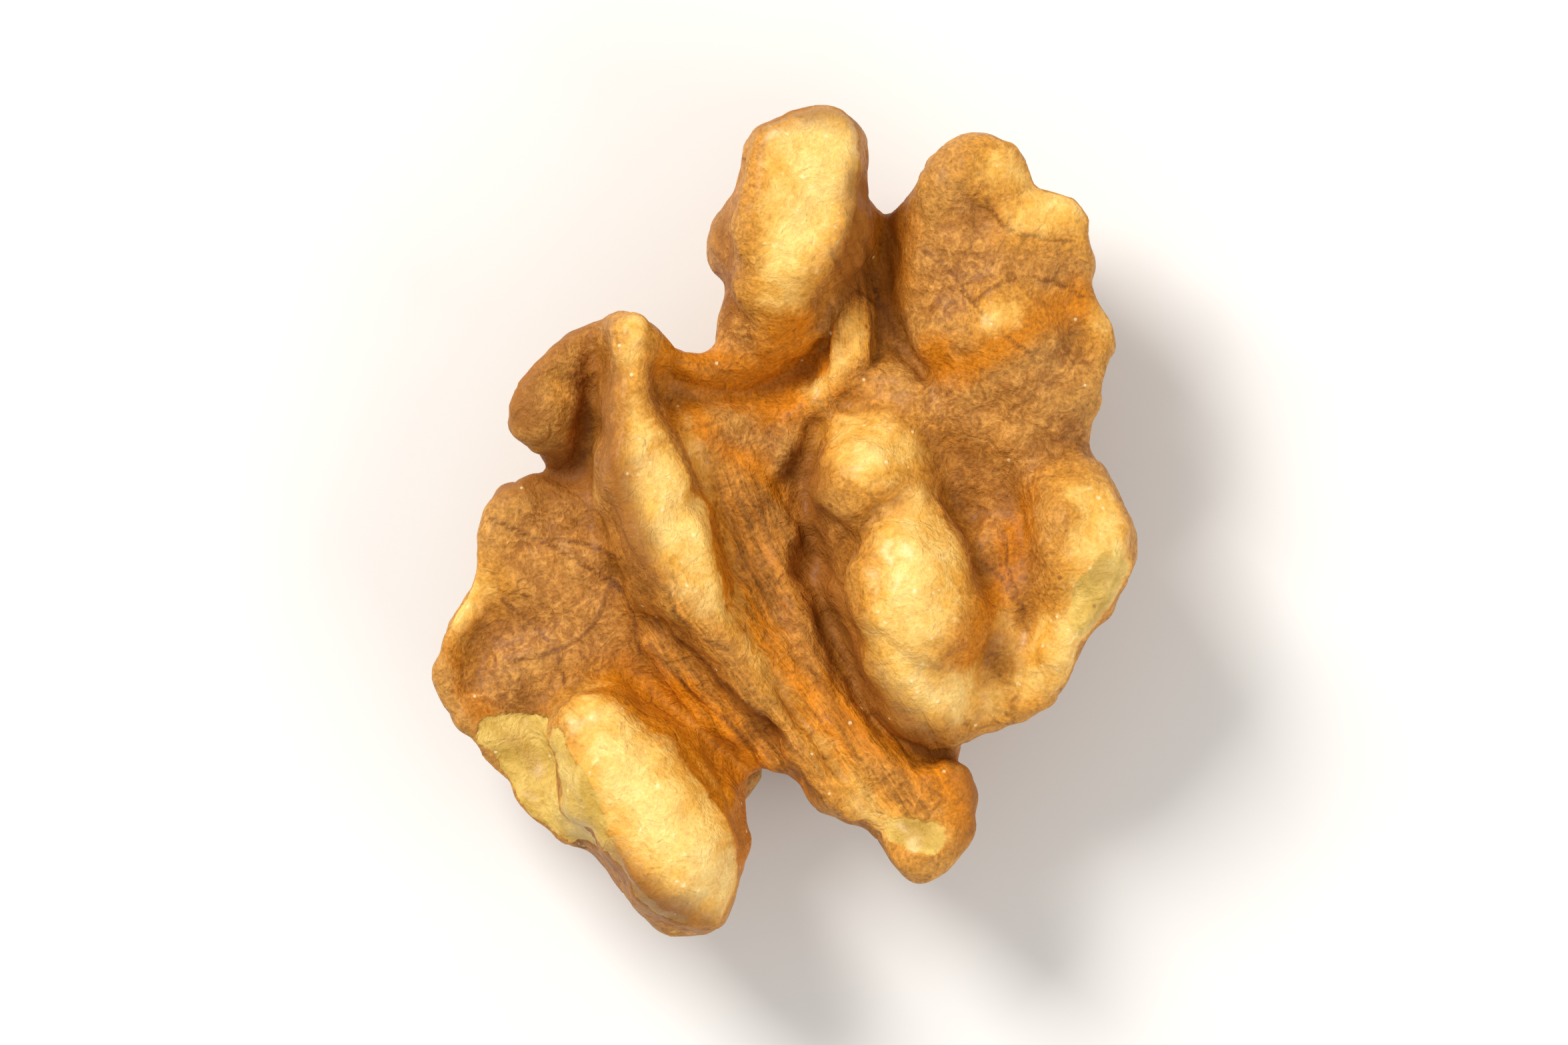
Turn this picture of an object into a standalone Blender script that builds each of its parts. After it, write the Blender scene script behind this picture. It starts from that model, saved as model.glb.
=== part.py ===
"""Half of a walnut kernel, resting on its outer side with its inner side up.

The half is one grown piece. It is modelled as a distance field, in millimetres: ridges (rounded or flat
tops carried along smooth paths, with flanks that widen downwards) and pads (flattened balls) are melted
together, clefts are pressed out of them, and the shell that the nut grew in trims the outside. The skin
where the distance is zero becomes one closed mesh.

Axes: +X is to the right and +Y is towards the gap between the two wings, seen from above; the tongue,
which ends in the root tip, points along -Y. +Z is up, away from the surface that the nut lies on.
"""

import bpy
import numpy as np

MM = 0.001

# Driving dimensions, in millimetres.
KERNEL_WIDTH = 30.2
KERNEL_LENGTH = 35.6
KERNEL_HEIGHT = 14.0
SKIN_STEP = 0.45
FAR = 9.0

# The outline seen from above, anticlockwise from the tip of the finger.
OUTLINE = [
    (1.5, 17.9), (-0.1, 17.8), (-1.2, 17.2), (-1.6, 16.1), (-2.2, 14.6), (-3.0, 13.3), (-3.2, 12.0),
    (-2.5, 10.5), (-2.4, 9.0), (-2.6, 8.0), (-3.4, 7.8), (-4.3, 8.4), (-5.1, 9.1), (-6.3, 9.6),
    (-7.7, 9.5), (-9.3, 8.6), (-10.5, 7.4), (-11.2, 5.9), (-11.6, 4.7), (-11.1, 4.0), (-10.6, 3.3),
    (-11.5, 2.8), (-12.4, 2.2), (-12.9, 0.9), (-13.0, -0.4), (-13.2, -1.6), (-13.9, -2.6),
    (-14.5, -3.6), (-14.8, -5.0), (-15.1, -6.1), (-14.8, -7.3), (-14.0, -8.2), (-13.3, -8.9),
    (-13.3, -9.7), (-12.9, -10.4), (-12.1, -10.9), (-11.3, -11.5), (-10.2, -12.3), (-9.1, -13.2),
    (-8.2, -14.1), (-7.5, -15.4), (-6.6, -16.5), (-5.4, -17.3), (-4.2, -17.8), (-2.8, -17.7),
    (-1.5, -16.6), (-0.8, -15.0), (-0.5, -13.4), (-0.7, -11.9), (-0.6, -11.0), (0.1, -10.7),
    (1.0, -10.9), (1.9, -11.7), (3.2, -12.9), (4.3, -14.0), (5.0, -14.7), (5.9, -15.1), (6.8, -14.6),
    (7.8, -13.8), (8.5, -13.1), (8.7, -12.0), (8.6, -10.6), (8.4, -9.6), (8.8, -9.0), (10.0, -8.6),
    (11.3, -8.0), (12.2, -7.2), (12.8, -6.3), (13.1, -5.1), (13.5, -4.2), (14.2, -3.5), (14.7, -2.6),
    (15.0, -1.0), (15.1, 1.0), (15.0, 2.4), (14.5, 3.5), (13.9, 4.3), (13.8, 5.1), (13.9, 6.0),
    (14.2, 7.0), (14.6, 7.8), (14.7, 8.7), (14.3, 9.6), (13.7, 10.5), (13.8, 11.6), (13.5, 12.5),
    (13.5, 13.5), (12.8, 14.6), (11.8, 15.0), (11.1, 15.0), (10.9, 15.7), (10.2, 16.7), (9.3, 17.2),
    (8.2, 17.4), (7.1, 17.1), (6.1, 16.3), (5.4, 15.3), (4.7, 14.6), (4.2, 14.8), (4.3, 15.8),
    (4.2, 16.9), (3.1, 17.8),
]
# The outline shrinks downwards like the inside of the shell: the half that the kernel filled is this
# deep, and the higher the power, the steeper its sides.
SHELL_RIM = KERNEL_HEIGHT - 3.0
SHELL_POWER = 2.15

# Ridges: (x, y, z, radius) along the middle of each rounded top. Where the top is flat between its
# rounded edges, its half width and its rise per millimetre to the left of the path follow.
RIDGES = {
    "finger": [
        (1.6, 15.5, 11.1, 1.2, 1.7, 0),
        (1.2, 13.8, 11.5, 1.0, 1.7, 0),
        (0.6, 12.0, 11.4, 0.9, 1.2, 0),
        (0.1, 10.4, 10.4, 0.9, 0.9, 0),
        (0.2, 9.0, 8.9, 0.9, 0.8, 0),
    ],
    "finger side": [
        (-1.3, 13.6, 7.6, 1.8),
        (-1.5, 11.4, 8.2, 1.5),
        (-1.1, 9.4, 8.4, 1.4),
        (-0.8, 7.6, 8.0, 1.3),
    ],
    "finger wall": [
        (2.8, 15.0, 8.2, 0.9),
        (2.4, 12.6, 8.8, 0.9),
        (1.9, 10.6, 8.8, 0.8),
        (2.2, 9.0, 8.4, 0.7),
    ],
    "collar": [
        (-1.4, 7.8, 8.0, 1.2),
        (-2.9, 7.2, 8.8, 1.0),
        (-4.4, 7.8, 10.0, 1.0),
        (-5.6, 8.3, 11.0, 1.1),
    ],
    "fold at the hollow": [
        (3.3, 9.2, 8.4, 0.7),
        (3.0, 7.6, 8.8, 0.7),
        (2.0, 6.3, 8.4, 0.7),
        (0.9, 5.2, 7.8, 0.6),
    ],
    "strand in the gap": [(3.8, 14.0, 7.0, 0.6), (3.3, 11.8, 7.6, 0.5), (3.2, 9.8, 8.0, 0.5)],
    "crest": [
        (-5.9, 8.4, 11.5, 0.9, 0.1, -0.2),
        (-6.2, 6.4, 12.0, 0.8, 0.3, -0.3),
        (-5.9, 4.0, 12.2, 0.8, 0.6, -0.35),
        (-5.1, 2.0, 12.2, 0.7, 1.0, -0.35),
        (-4.4, 0.0, 12.1, 0.7, 0.9, -0.35),
        (-3.6, -2.0, 11.6, 0.7, 0.7, -0.35),
        (-2.7, -3.6, 11.1, 0.6, 0.5, -0.3),
        (-1.6, -5.2, 10.5, 0.5, 0.3, -0.2),
        (-0.1, -7.2, 9.9, 0.5, 0, 0),
        (1.6, -9.6, 9.5, 0.5, 0, 0),
        (3.2, -12.0, 9.2, 0.6, 0, 0),
        (4.3, -13.6, 8.8, 0.7, 0, 0),
    ],
    "tongue": [
        (-1.2, -0.6, 6.3, 2.4),
        (0.9, -4.4, 6.5, 2.6),
        (3.2, -7.8, 6.7, 2.6),
        (5.0, -10.6, 6.9, 2.7),
        (5.7, -13.0, 7.1, 2.7),
    ],
    "tongue flank": [
        (-4.6, -4.4, 8.2, 1.0),
        (-2.6, -6.4, 7.9, 1.0),
        (-0.8, -8.4, 7.5, 1.0),
        (0.9, -10.2, 7.2, 0.9),
        (2.6, -11.9, 7.2, 0.8),
        (4.2, -13.4, 7.4, 0.8),
    ],
    "upper strand": [
        (-1.4, -2.6, 8.9, 0.5),
        (0.4, -5.6, 8.9, 0.5),
        (2.6, -8.6, 9.0, 0.5),
        (4.7, -11.3, 8.9, 0.5),
    ],
    "lower strand": [
        (0.2, -1.6, 8.3, 0.6),
        (1.6, -5.0, 8.5, 0.6),
        (3.6, -8.0, 8.7, 0.6),
        (5.8, -10.8, 8.7, 0.6),
    ],
    "tongue edge": [
        (4.8, -8.4, 6.8, 1.8),
        (7.1, -9.8, 7.1, 1.7),
        (7.7, -11.4, 7.3, 1.5),
        (7.3, -13.0, 7.4, 1.4),
    ],
    "tongue tip": [
        (4.8, -12.4, 8.2, 1.0, 0.8, 0),
        (5.8, -13.4, 8.1, 0.9, 1.0, 0),
        (7.0, -12.8, 8.2, 0.8, 0.4, 0),
    ],
    "left knob": [
        (-8.4, 7.6, 7.2, 1.8),
        (-9.4, 6.6, 7.4, 2.1),
        (-9.7, 5.2, 7.2, 2.1),
        (-9.0, 4.2, 6.8, 1.8),
    ],
    "left edge": [
        (-11.0, 1.6, 7.2, 1.1),
        (-12.0, -0.2, 7.3, 1.1),
        (-13.0, -2.8, 7.6, 1.1),
        (-13.7, -5.2, 7.7, 1.1),
        (-13.4, -7.0, 7.6, 1.1),
        (-12.0, -8.6, 7.2, 1.0),
    ],
    "broken rim": [
        (-12.4, -9.4, 7.6, 0.7, 0.4, 0),
        (-10.9, -10.2, 7.6, 0.7, 1.5, 0),
        (-9.5, -11.7, 7.6, 0.7, 1.6, 0),
        (-8.3, -13.2, 7.7, 0.7, 1.0, 0),
        (-7.2, -15.0, 7.7, 0.7, 0.3, 0),
        (-5.7, -16.6, 7.7, 0.7, 0, 0),
        (-4.0, -17.3, 7.5, 0.7, 0, 0),
        (-2.4, -17.0, 7.3, 0.7, 0, 0),
    ],
    "left bulb": [
        (-7.4, -8.4, 9.4, 2.0),
        (-6.2, -10.5, 9.8, 2.7),
        (-4.5, -12.9, 9.8, 3.0),
        (-3.6, -14.8, 9.2, 2.6),
    ],
    "left bulb flank": [
        (-6.4, -7.6, 8.2, 1.4),
        (-4.6, -9.2, 8.4, 1.8),
        (-2.9, -10.9, 8.3, 1.9),
        (-2.1, -12.8, 8.1, 1.7),
    ],
    "shoulder": [(2.9, 1.2, 9.0, 1.2), (2.8, -0.6, 8.8, 1.0), (3.2, -2.6, 8.6, 1.0)],
    "neck of the bulbs": [(4.1, 1.9, 9.3, 1.6), (5.0, 0.2, 9.5, 1.7)],
    "main bulb": [
        (5.5, -1.4, 10.4, 2.5),
        (5.8, -3.0, 10.3, 2.8),
        (5.7, -4.8, 9.8, 2.6),
        (6.1, -6.4, 9.4, 2.2),
    ],
    "cup rim": [
        (6.0, -7.0, 9.2, 1.5),
        (7.6, -7.6, 8.8, 1.2),
        (9.5, -7.4, 8.5, 1.1),
        (11.2, -6.4, 8.8, 1.3),
        (12.2, -4.4, 9.3, 1.7),
        (12.8, -2.2, 9.5, 2.1),
        (12.8, -0.2, 9.5, 2.3),
        (12.3, 1.4, 9.1, 2.0),
        (11.0, 2.5, 8.4, 1.3),
    ],
    "right brow": [(6.3, 12.2, 8.2, 1.7), (7.3, 14.7, 9.2, 1.9), (8.9, 15.3, 9.2, 1.7)],
    "right knob": [(12.2, 11.6, 8.2, 1.4), (13.3, 8.8, 8.4, 1.5), (12.6, 7.0, 7.8, 1.4)],
    "fold by the small bulb": [
        (3.4, 6.2, 7.9, 0.7),
        (4.8, 6.0, 8.2, 0.8),
        (6.2, 5.2, 8.6, 0.8),
        (7.2, 4.3, 8.2, 0.7),
    ],
    "cup floor": [
        (8.2, -6.3, 8.6, 1.2, 0.9, 0),
        (9.2, -4.3, 8.4, 1.2, 1.2, 0),
        (9.7, -1.6, 8.0, 1.2, 1.0, 0),
    ],
}
PATH_COLUMNS = 6
RIDGE_DROP = 4.0
RIDGE_FLARE = 0.22

# Pads: centre, radii, and the turn about the upright axis in degrees.
PADS = {
    "core": [(0.0, -0.5, 4.2), (12.0, 13.6, 4.0), 0],
    "left sheet": [(-9.4, -3.2, 5.2), (7.4, 7.8, 3.1), 0],
    "left shelf": [(-8.4, -10.4, 5.4), (5.0, 7.2, 2.6), 35],
    "saddle": [(-1.4, 2.6, 5.6), (4.8, 5.4, 3.1), 0],
    "upper slope": [(-3.4, 4.6, 6.2), (3.0, 3.8, 3.6), 0],
    "right dome": [(8.8, 10.9, 6.2), (5.1, 6.2, 4.6), 0],
    "right patch": [(11.3, 13.3, 8.8), (2.1, 1.6, 1.5), -20],
    "right lump": [(9.2, 8.8, 9.6), (1.5, 1.1, 1.3), 0],
    "right slope": [(9.6, 7.2, 5.8), (4.6, 4.0, 4.2), 0],
    "right sheet": [(9.8, 4.4, 5.0), (5.4, 4.8, 4.2), 0],
    "small bulb": [(3.8, 2.3, 8.8), (2.5, 2.7, 3.4), 0],
    "cup floor": [(9.2, -3.0, 5.4), (3.8, 5.4, 3.5), 0],
    "tongue fan": [(5.2, -10.8, 6.0), (3.5, 4.2, 3.4), 0],
}

# Clefts: (x, y, z, radius) along the bottom of each.
CLEFTS = {
    "beside the left bulb": [
        (0.0, -11.6, 3.0, 0.5),
        (-0.8, -10.2, 5.4, 0.4),
        (-2.2, -8.9, 6.9, 0.35),
        (-4.2, -7.2, 7.7, 0.3),
        (-6.4, -5.4, 8.2, 0.2),
    ],
    "between the wings": [
        (4.7, 16.0, 5.0, 0.5),
        (4.5, 13.0, 7.2, 0.5),
        (4.5, 10.5, 8.0, 0.5),
        (4.9, 8.4, 8.3, 0.4),
        (6.0, 6.8, 8.5, 0.3),
    ],
    "below the collar": [
        (-4.2, 6.0, 9.9, 0.3),
        (-2.6, 5.9, 9.2, 0.4),
        (-0.6, 6.2, 8.1, 0.7),
        (0.8, 6.9, 8.0, 0.5),
    ],
    "beside the tongue": [
        (1.6, 4.4, 8.6, 0.3),
        (1.0, 1.6, 8.4, 0.3),
        (1.6, -1.6, 8.3, 0.3),
        (2.6, -4.8, 8.3, 0.3),
        (4.1, -7.6, 8.2, 0.3),
        (6.0, -9.0, 8.3, 0.3),
        (8.8, -9.2, 7.6, 0.2),
    ],
    "between the bulbs": [
        (6.6, 1.1, 11.5, 0.4),
        (5.4, 1.3, 11.6, 0.5),
        (4.0, 0.8, 11.5, 0.4),
        (3.2, -0.6, 10.9, 0.3),
    ],
    "below the left knob": [
        (-12.4, 2.9, 5.6, 0.5),
        (-10.4, 3.0, 6.8, 0.4),
        (-8.4, 2.5, 7.6, 0.3),
        (-7.6, 4.4, 8.3, 0.2),
    ],
    "behind the left knob": [(-7.8, 8.9, 8.8, 0.2), (-7.5, 7.0, 8.8, 0.2), (-7.7, 4.6, 8.4, 0.2)],
    "rim of the left bulb": [
        (-8.0, -12.9, 8.6, 0.1),
        (-7.2, -14.3, 8.2, 0.2),
        (-6.2, -15.7, 8.0, 0.3),
        (-4.8, -16.6, 7.8, 0.3),
        (-3.2, -17.0, 7.8, 0.2),
    ],
}
CLEFT_REACH = 12.0
CLEFT_FLARE = 0.12

# Below this level everything inside the shell is kernel.
BODY_LEVEL = 6.4

RIDGE_BLEND = 0.8
PAD_BLEND = 2.2
CLEFT_BLEND = 0.9
SHELL_BLEND = 0.9

# The furrows of the outer side follow the zero lines of sums of waves: (spacing, depth, width in share
# of the waves' height, seed) of each set. They start below this level with a share of their depth and
# deepen over the run-in.
FURROWS = [(8.4, 2.0, 0.42, 11), (4.3, 0.35, 0.35, 12)]
FURROW_TOP = 7.8
FURROW_START = 0.08
FURROW_RUN_IN = 4.0
FURROW_REACH = 2.6
FURROW_SOFTENING = 0.3

# The whole skin is a little uneven: (spacing, height, seed) of each set of waves.
UNEVENNESS = [(5.2, 0.11, 3), (2.7, 0.06, 4)]
WAVES = 28

# The lowest part of the outer side is worn flat by this much.
FLAT_CUT = 0.95
MOST_TRIANGLES = 10500


def smooth_path(points, spacing=0.8, closed=False):
    """Points along a Catmull-Rom curve through the given ones, about this far apart. Every column is
    eased alike, and the last columns that an open path doesn't give are zero."""
    points = np.array(points, float)
    if closed:
        ends = np.vstack([points[-1], points, points[:2]])
    else:
        points = np.pad(points, ((0, 0), (0, PATH_COLUMNS - points.shape[1])))
        ends = np.vstack([2 * points[0] - points[1], points, 2 * points[-1] - points[-2]])
    runs = []
    for before, start, finish, after in zip(ends, ends[1:], ends[2:], ends[3:]):
        count = max(2, int(np.linalg.norm((finish - start)[:3]) / spacing) + 1)
        t = np.linspace(0, 1, count, endpoint=False)[:, None]
        linear = finish - before
        square = 2 * before - 5 * start + 4 * finish - after
        cube = 3 * (start - finish) + after - before
        runs.append(start + 0.5 * (linear * t + square * t**2 + cube * t**3))
    if not closed:
        runs.append(points[-1:])
    return np.vstack(runs)


def to_wall(points, path, top_side, drop, flare):
    """Distance to a wall whose edge runs along the path, rounded or flat between two rounded sides. The
    wall hangs below its edge (top_side 1) by the drop or stands above it (top_side -1), and gets
    thicker by the flare."""
    nearest = np.full(points.shape[:-1], FAR)
    for start, finish in zip(path, path[1:]):
        along = (finish - start)[:2]
        offset = points[..., :2] - start[:2]
        t = np.clip(offset @ along / (along @ along), 0, 1)
        level, radius, flat, lean = (start[k] + t * (finish[k] - start[k]) for k in (2, 3, 4, 5))
        sideways = np.linalg.norm(offset - t[..., None] * along, axis=-1)
        left = (along[0] * offset[..., 1] - along[1] * offset[..., 0]) / np.linalg.norm(along)
        beyond = top_side * (points[..., 2] - level - lean * np.clip(left, -flat, flat))
        thickness = radius + flare * np.clip(-beyond, 0, drop)
        upright = np.where(beyond > 0, beyond, np.minimum(beyond + drop, 0))
        nearest = np.minimum(nearest, np.hypot(np.maximum(sideways - flat, 0), upright) - thickness)
    return nearest


def to_pad(points, centre, radii, turn):
    """Nearly the distance to a flattened ball: its own radius measure, scaled back to millimetres by
    its slope."""
    x, y, z = np.moveaxis(points - np.array(centre), -1, 0)
    cos, sin = np.cos(np.radians(turn)), np.sin(np.radians(turn))
    offset = np.stack([x * cos + y * sin, y * cos - x * sin, z], axis=-1)
    measure = np.linalg.norm(offset / radii, axis=-1)
    slope = np.linalg.norm(offset / np.square(radii), axis=-1)
    return measure * (measure - 1) / np.maximum(slope, 1e-6)


def to_outline(x, y):
    """Distance in the plane to the outline, below zero inside."""
    path = smooth_path(OUTLINE, closed=True)
    nearest = np.full(x.shape, np.inf)
    inside = np.zeros(x.shape, bool)
    for start, finish in zip(path, np.roll(path, -1, axis=0)):
        along = finish - start
        dx, dy = x - start[0], y - start[1]
        t = np.clip((dx * along[0] + dy * along[1]) / (along @ along), 0, 1)
        nearest = np.minimum(nearest, (dx - t * along[0]) ** 2 + (dy - t * along[1]) ** 2)
        spans = (start[1] > y) != (finish[1] > y)
        if along[1] != 0:
            inside ^= spans & (dx < dy * along[0] / along[1])
    return np.where(inside, -1, 1) * np.sqrt(nearest)


def melt(a, b, blend):
    """The lesser of two distances, rounded over where they are nearly the same."""
    overlap = np.maximum(blend - np.abs(a - b), 0) / blend
    return np.minimum(a, b) - overlap**2 * blend / 4


def fill(values, where, level):
    """Sets the values there and returns how many there are."""
    values[where] = level
    return where.sum()


class Block:
    """A block of sample points, each with its distance to the kernel's skin, below zero inside."""

    def __init__(self, step):
        margin = 1.5
        reach = np.array((KERNEL_WIDTH / 2, KERNEL_LENGTH / 2, KERNEL_HEIGHT)) + margin
        self.step = step
        self.low = np.array((-reach[0], -reach[1], -margin))
        self.axes = [np.arange(a, b, step) for a, b in zip(self.low, reach)]
        self.values = np.full([len(axis) for axis in self.axes], FAR)

    def window(self, low, high):
        """The slices of the block inside a box, and the sample points there."""
        cut = tuple(slice(*np.searchsorted(axis, (a, b))) for axis, a, b in zip(self.axes, low, high))
        spans = [axis[part] for axis, part in zip(self.axes, cut)]
        return cut, np.stack(np.meshgrid(*spans, indexing="ij"), axis=-1)

    def points(self):
        return np.stack(np.meshgrid(*self.axes, indexing="ij"), axis=-1)

    def add_ridge(self, path, blend):
        reach = (path[:, 3] + path[:, 4]).max() + RIDGE_FLARE * RIDGE_DROP + 2 * blend
        low = path[:, :3].min(0) - reach
        low[2] -= RIDGE_DROP
        cut, points = self.window(low, path[:, :3].max(0) + reach)
        wall = to_wall(points, path, 1, RIDGE_DROP, RIDGE_FLARE)
        self.values[cut] = melt(self.values[cut], wall, blend)

    def add_pad(self, centre, radii, turn, blend):
        reach = max(radii[:2]) + 2 * blend
        cut, points = self.window(np.array(centre) - reach, np.array(centre) + reach)
        self.values[cut] = melt(self.values[cut], to_pad(points, centre, radii, turn), blend)

    def carve_cleft(self, path, blend):
        reach = path[:, 3].max() + 2 * blend
        high = path[:, :3].max(0) + reach
        high[2] += CLEFT_REACH
        cut, points = self.window(path[:, :3].min(0) - reach, high)
        wall = to_wall(points, path, -1, CLEFT_REACH, CLEFT_FLARE)
        self.values[cut] = -melt(-self.values[cut], wall, blend)

    def trim(self, distance, blend):
        self.values = -melt(-self.values, -distance, blend)

    def shell(self):
        """Distance to the inside of the shell: the outline, shrinking downwards, divided by its slope."""
        x, y, z = self.axes
        depth = np.clip((SHELL_RIM - z) / SHELL_RIM, 0, 0.999)
        shrink = (1 - depth**SHELL_POWER) ** (1 / SHELL_POWER)
        flat = np.meshgrid(x, y, indexing="ij")
        wide = np.stack([s * to_outline(flat[0] / s, flat[1] / s) for s in shrink], axis=-1)
        slope = np.linalg.norm(np.gradient(wide, self.step), axis=0)
        return np.maximum(wide / np.maximum(slope, 1), -z)

    def fill_touching_corners(self):
        """Fills in where samples touch only across the diagonal of a grid square or of a grid cell, so
        that every edge of the skin has two faces and every corner one fan of faces."""
        level = -0.1 * self.step
        filled = 1
        while filled:
            filled = 0
            for axis in range(3):
                square = np.moveaxis(self.values, axis, 2)
                a, b, c, d = square[:-1, :-1], square[1:, :-1], square[:-1, 1:], square[1:, 1:]
                for one, other, *rest in ((a, d, b, c), (b, c, a, d)):
                    filled += fill(one, (one >= 0) & (other >= 0) & (np.maximum(*rest) < 0), level)
            ends = (slice(None, -1), slice(1, None))
            corners = [self.values[i, j, k] for i in ends for j in ends for k in ends]
            for number in range(4):
                one, other = corners[number], corners[7 - number]
                rest = [corner for corner in corners if corner is not one and corner is not other]
                filled += fill(one, (one >= 0) & (other >= 0) & (np.max(rest, axis=0) < 0), level)
                filled += fill(rest[0], (one < 0) & (other < 0) & (np.min(rest, axis=0) >= 0), level)

    def skin(self):
        """Corner points and four-sided faces of the skin: a point in each cell that the skin crosses,
        at the middle of the crossings on the cell's edges, and a face across each edge of the block
        that the skin cuts."""
        inside = self.values < 0
        cells = np.array(inside.shape) - 1
        total = np.zeros((*cells, 3))
        count = np.zeros(cells, int)
        cut_edges = []
        for axis in range(3):
            others = [a for a in range(3) if a != axis]
            near = np.moveaxis(self.values, axis, 0)[:-1]
            far = np.moveaxis(self.values, axis, 0)[1:]
            crossed = (near < 0) != (far < 0)
            at = np.argwhere(crossed)
            share = near[crossed] / (near[crossed] - far[crossed])
            where = np.zeros((len(at), 3))
            where[:, axis] = at[:, 0] + share
            where[:, others] = at[:, 1:]
            base = np.zeros((len(at), 3), int)
            base[:, axis] = at[:, 0]
            base[:, others] = at[:, 1:]
            around = []
            for first, second in ((-1, -1), (0, -1), (0, 0), (-1, 0)):
                cell = base.copy()
                cell[:, others] += (first, second)
                around.append(cell)
                ok = ((cell >= 0) & (cell < cells)).all(1)
                np.add.at(total, tuple(cell[ok].T), where[ok])
                np.add.at(count, tuple(cell[ok].T), 1)
            entering = (near[crossed] < 0) != (axis == 1)
            cut_edges.append((np.stack(around, axis=1), entering))
        number = np.full(cells, -1)
        used = count > 0
        number[used] = np.arange(used.sum())
        corners = self.low + self.step * total[used] / count[used][:, None]
        faces = []
        for around, entering in cut_edges:
            four = number[tuple(np.moveaxis(around, -1, 0))]
            faces.append(np.where(entering[:, None], four, four[:, ::-1]))
        return corners, np.vstack(faces)


def wave_sum(points, spacing, seed):
    """A sum of cosine waves of one length in seeded directions, scaled to an even spread of about one."""
    random = np.random.default_rng(seed)
    directions = random.normal(size=(WAVES, 3))
    directions *= 2 * np.pi / spacing / np.linalg.norm(directions, axis=1, keepdims=True)
    phases = random.uniform(0, 2 * np.pi, WAVES)
    total = np.zeros(points.shape[:-1])
    for direction, phase in zip(directions, phases):
        total += np.cos(points @ direction + phase)
    return total * np.sqrt(2 / WAVES)


def ease(share):
    """A share from 0 to 1, eased at both ends."""
    share = np.clip(share, 0, 1)
    return share**2 * (3 - 2 * share)


def furrows(points, shell):
    """How far the shell wall is pressed in at each point: along the furrows, close to the wall, below
    the rim."""
    near_wall = ease(1.2 + shell / FURROW_REACH)
    below_rim = FURROW_START + (1 - FURROW_START) * ease((FURROW_TOP - points[..., 2]) / FURROW_RUN_IN)
    pressed = np.zeros(shell.shape)
    for spacing, depth, width, seed in FURROWS:
        pressed += depth * np.exp(-((wave_sum(points, spacing, seed) / width) ** 2))
    return pressed * near_wall * below_rim


def softened(values, step):
    """The values averaged with their neighbours until what is thinner than the softening is gone."""
    values = values.copy()
    for _ in range(round(2 * (FURROW_SOFTENING / step) ** 2)):
        for axis in range(3):
            row = np.moveaxis(values, axis, 0)
            row[1:-1] = (row[:-2] + 2 * row[1:-1] + row[2:]) / 4
    return values


def kernel_field(step):
    """The whole kernel as one block of distances."""
    block = Block(step)
    for centre, radii, turn in PADS.values():
        block.add_pad(centre, radii, turn, PAD_BLEND)
    for points in RIDGES.values():
        block.add_ridge(smooth_path(points), RIDGE_BLEND)
    for points in CLEFTS.values():
        block.carve_cleft(smooth_path(points), CLEFT_BLEND)
    points = block.points()
    block.values = melt(block.values, points[..., 2] - BODY_LEVEL, PAD_BLEND)
    shell = block.shell()
    block.trim(softened(shell + furrows(points, shell), step), SHELL_BLEND)
    for spacing, height, seed in UNEVENNESS:
        block.values += height * wave_sum(points, spacing, seed)
    block.fill_touching_corners()
    return block


def fitted(corners):
    """The corners stretched to the width, the length and the height, with the flat cut's depth below
    zero."""
    low, high = corners.min(0), corners.max(0)
    new_low = np.array((-KERNEL_WIDTH / 2, -KERNEL_LENGTH / 2, -FLAT_CUT))
    new_high = np.array((KERNEL_WIDTH / 2, KERNEL_LENGTH / 2, KERNEL_HEIGHT))
    return new_low + (corners - low) * (new_high - new_low) / (high - low)


def main_piece(corners, faces):
    """The corners and faces of the largest joined piece, without small loose ones."""
    label = np.arange(len(corners))
    before = None
    while not np.array_equal(label, before):
        before = label.copy()
        np.minimum.at(label, faces, before[faces].min(1)[:, None])
        label = label[label]
    keep = label == np.bincount(label).argmax()
    number = np.cumsum(keep) - 1
    return corners[keep], number[faces[keep[faces[:, 0]]]]


def closed_mesh(name, block):
    """A mesh of the block's skin, in metres."""
    corners, faces = main_piece(*block.skin())
    mesh = bpy.data.meshes.new(name)
    mesh.from_pydata((fitted(corners) * MM).tolist(), [], faces.tolist())
    mesh.update()
    mesh.shade_smooth()
    return mesh


def kernel_material():
    """Dry walnut skin: golden brown, slightly waxy."""
    material = bpy.data.materials.new("walnut skin")
    material.use_nodes = True
    shader = material.node_tree.nodes["Principled BSDF"]
    shader.inputs["Base Color"].default_value = (0.46, 0.23, 0.07, 1)
    shader.inputs["Roughness"].default_value = 0.5
    shader.inputs["Metallic"].default_value = 0.0
    return material


def flat_cutter():
    """A box whose top is level with the surface that the nut lies on."""
    side = KERNEL_LENGTH * MM
    corners = [(x * side, y * side, z * side) for x in (-1, 1) for y in (-1, 1) for z in (-1, 0)]
    faces = [(0, 1, 3, 2), (4, 6, 7, 5), (0, 4, 5, 1), (2, 3, 7, 6), (0, 2, 6, 4), (1, 5, 7, 3)]
    mesh = bpy.data.meshes.new("flat cutter")
    mesh.from_pydata(corners, [], faces)
    cutter = bpy.data.objects.new("flat cutter", mesh)
    bpy.context.scene.collection.objects.link(cutter)
    cutter.hide_render = True
    cutter.display_type = "WIRE"
    return cutter


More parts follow.
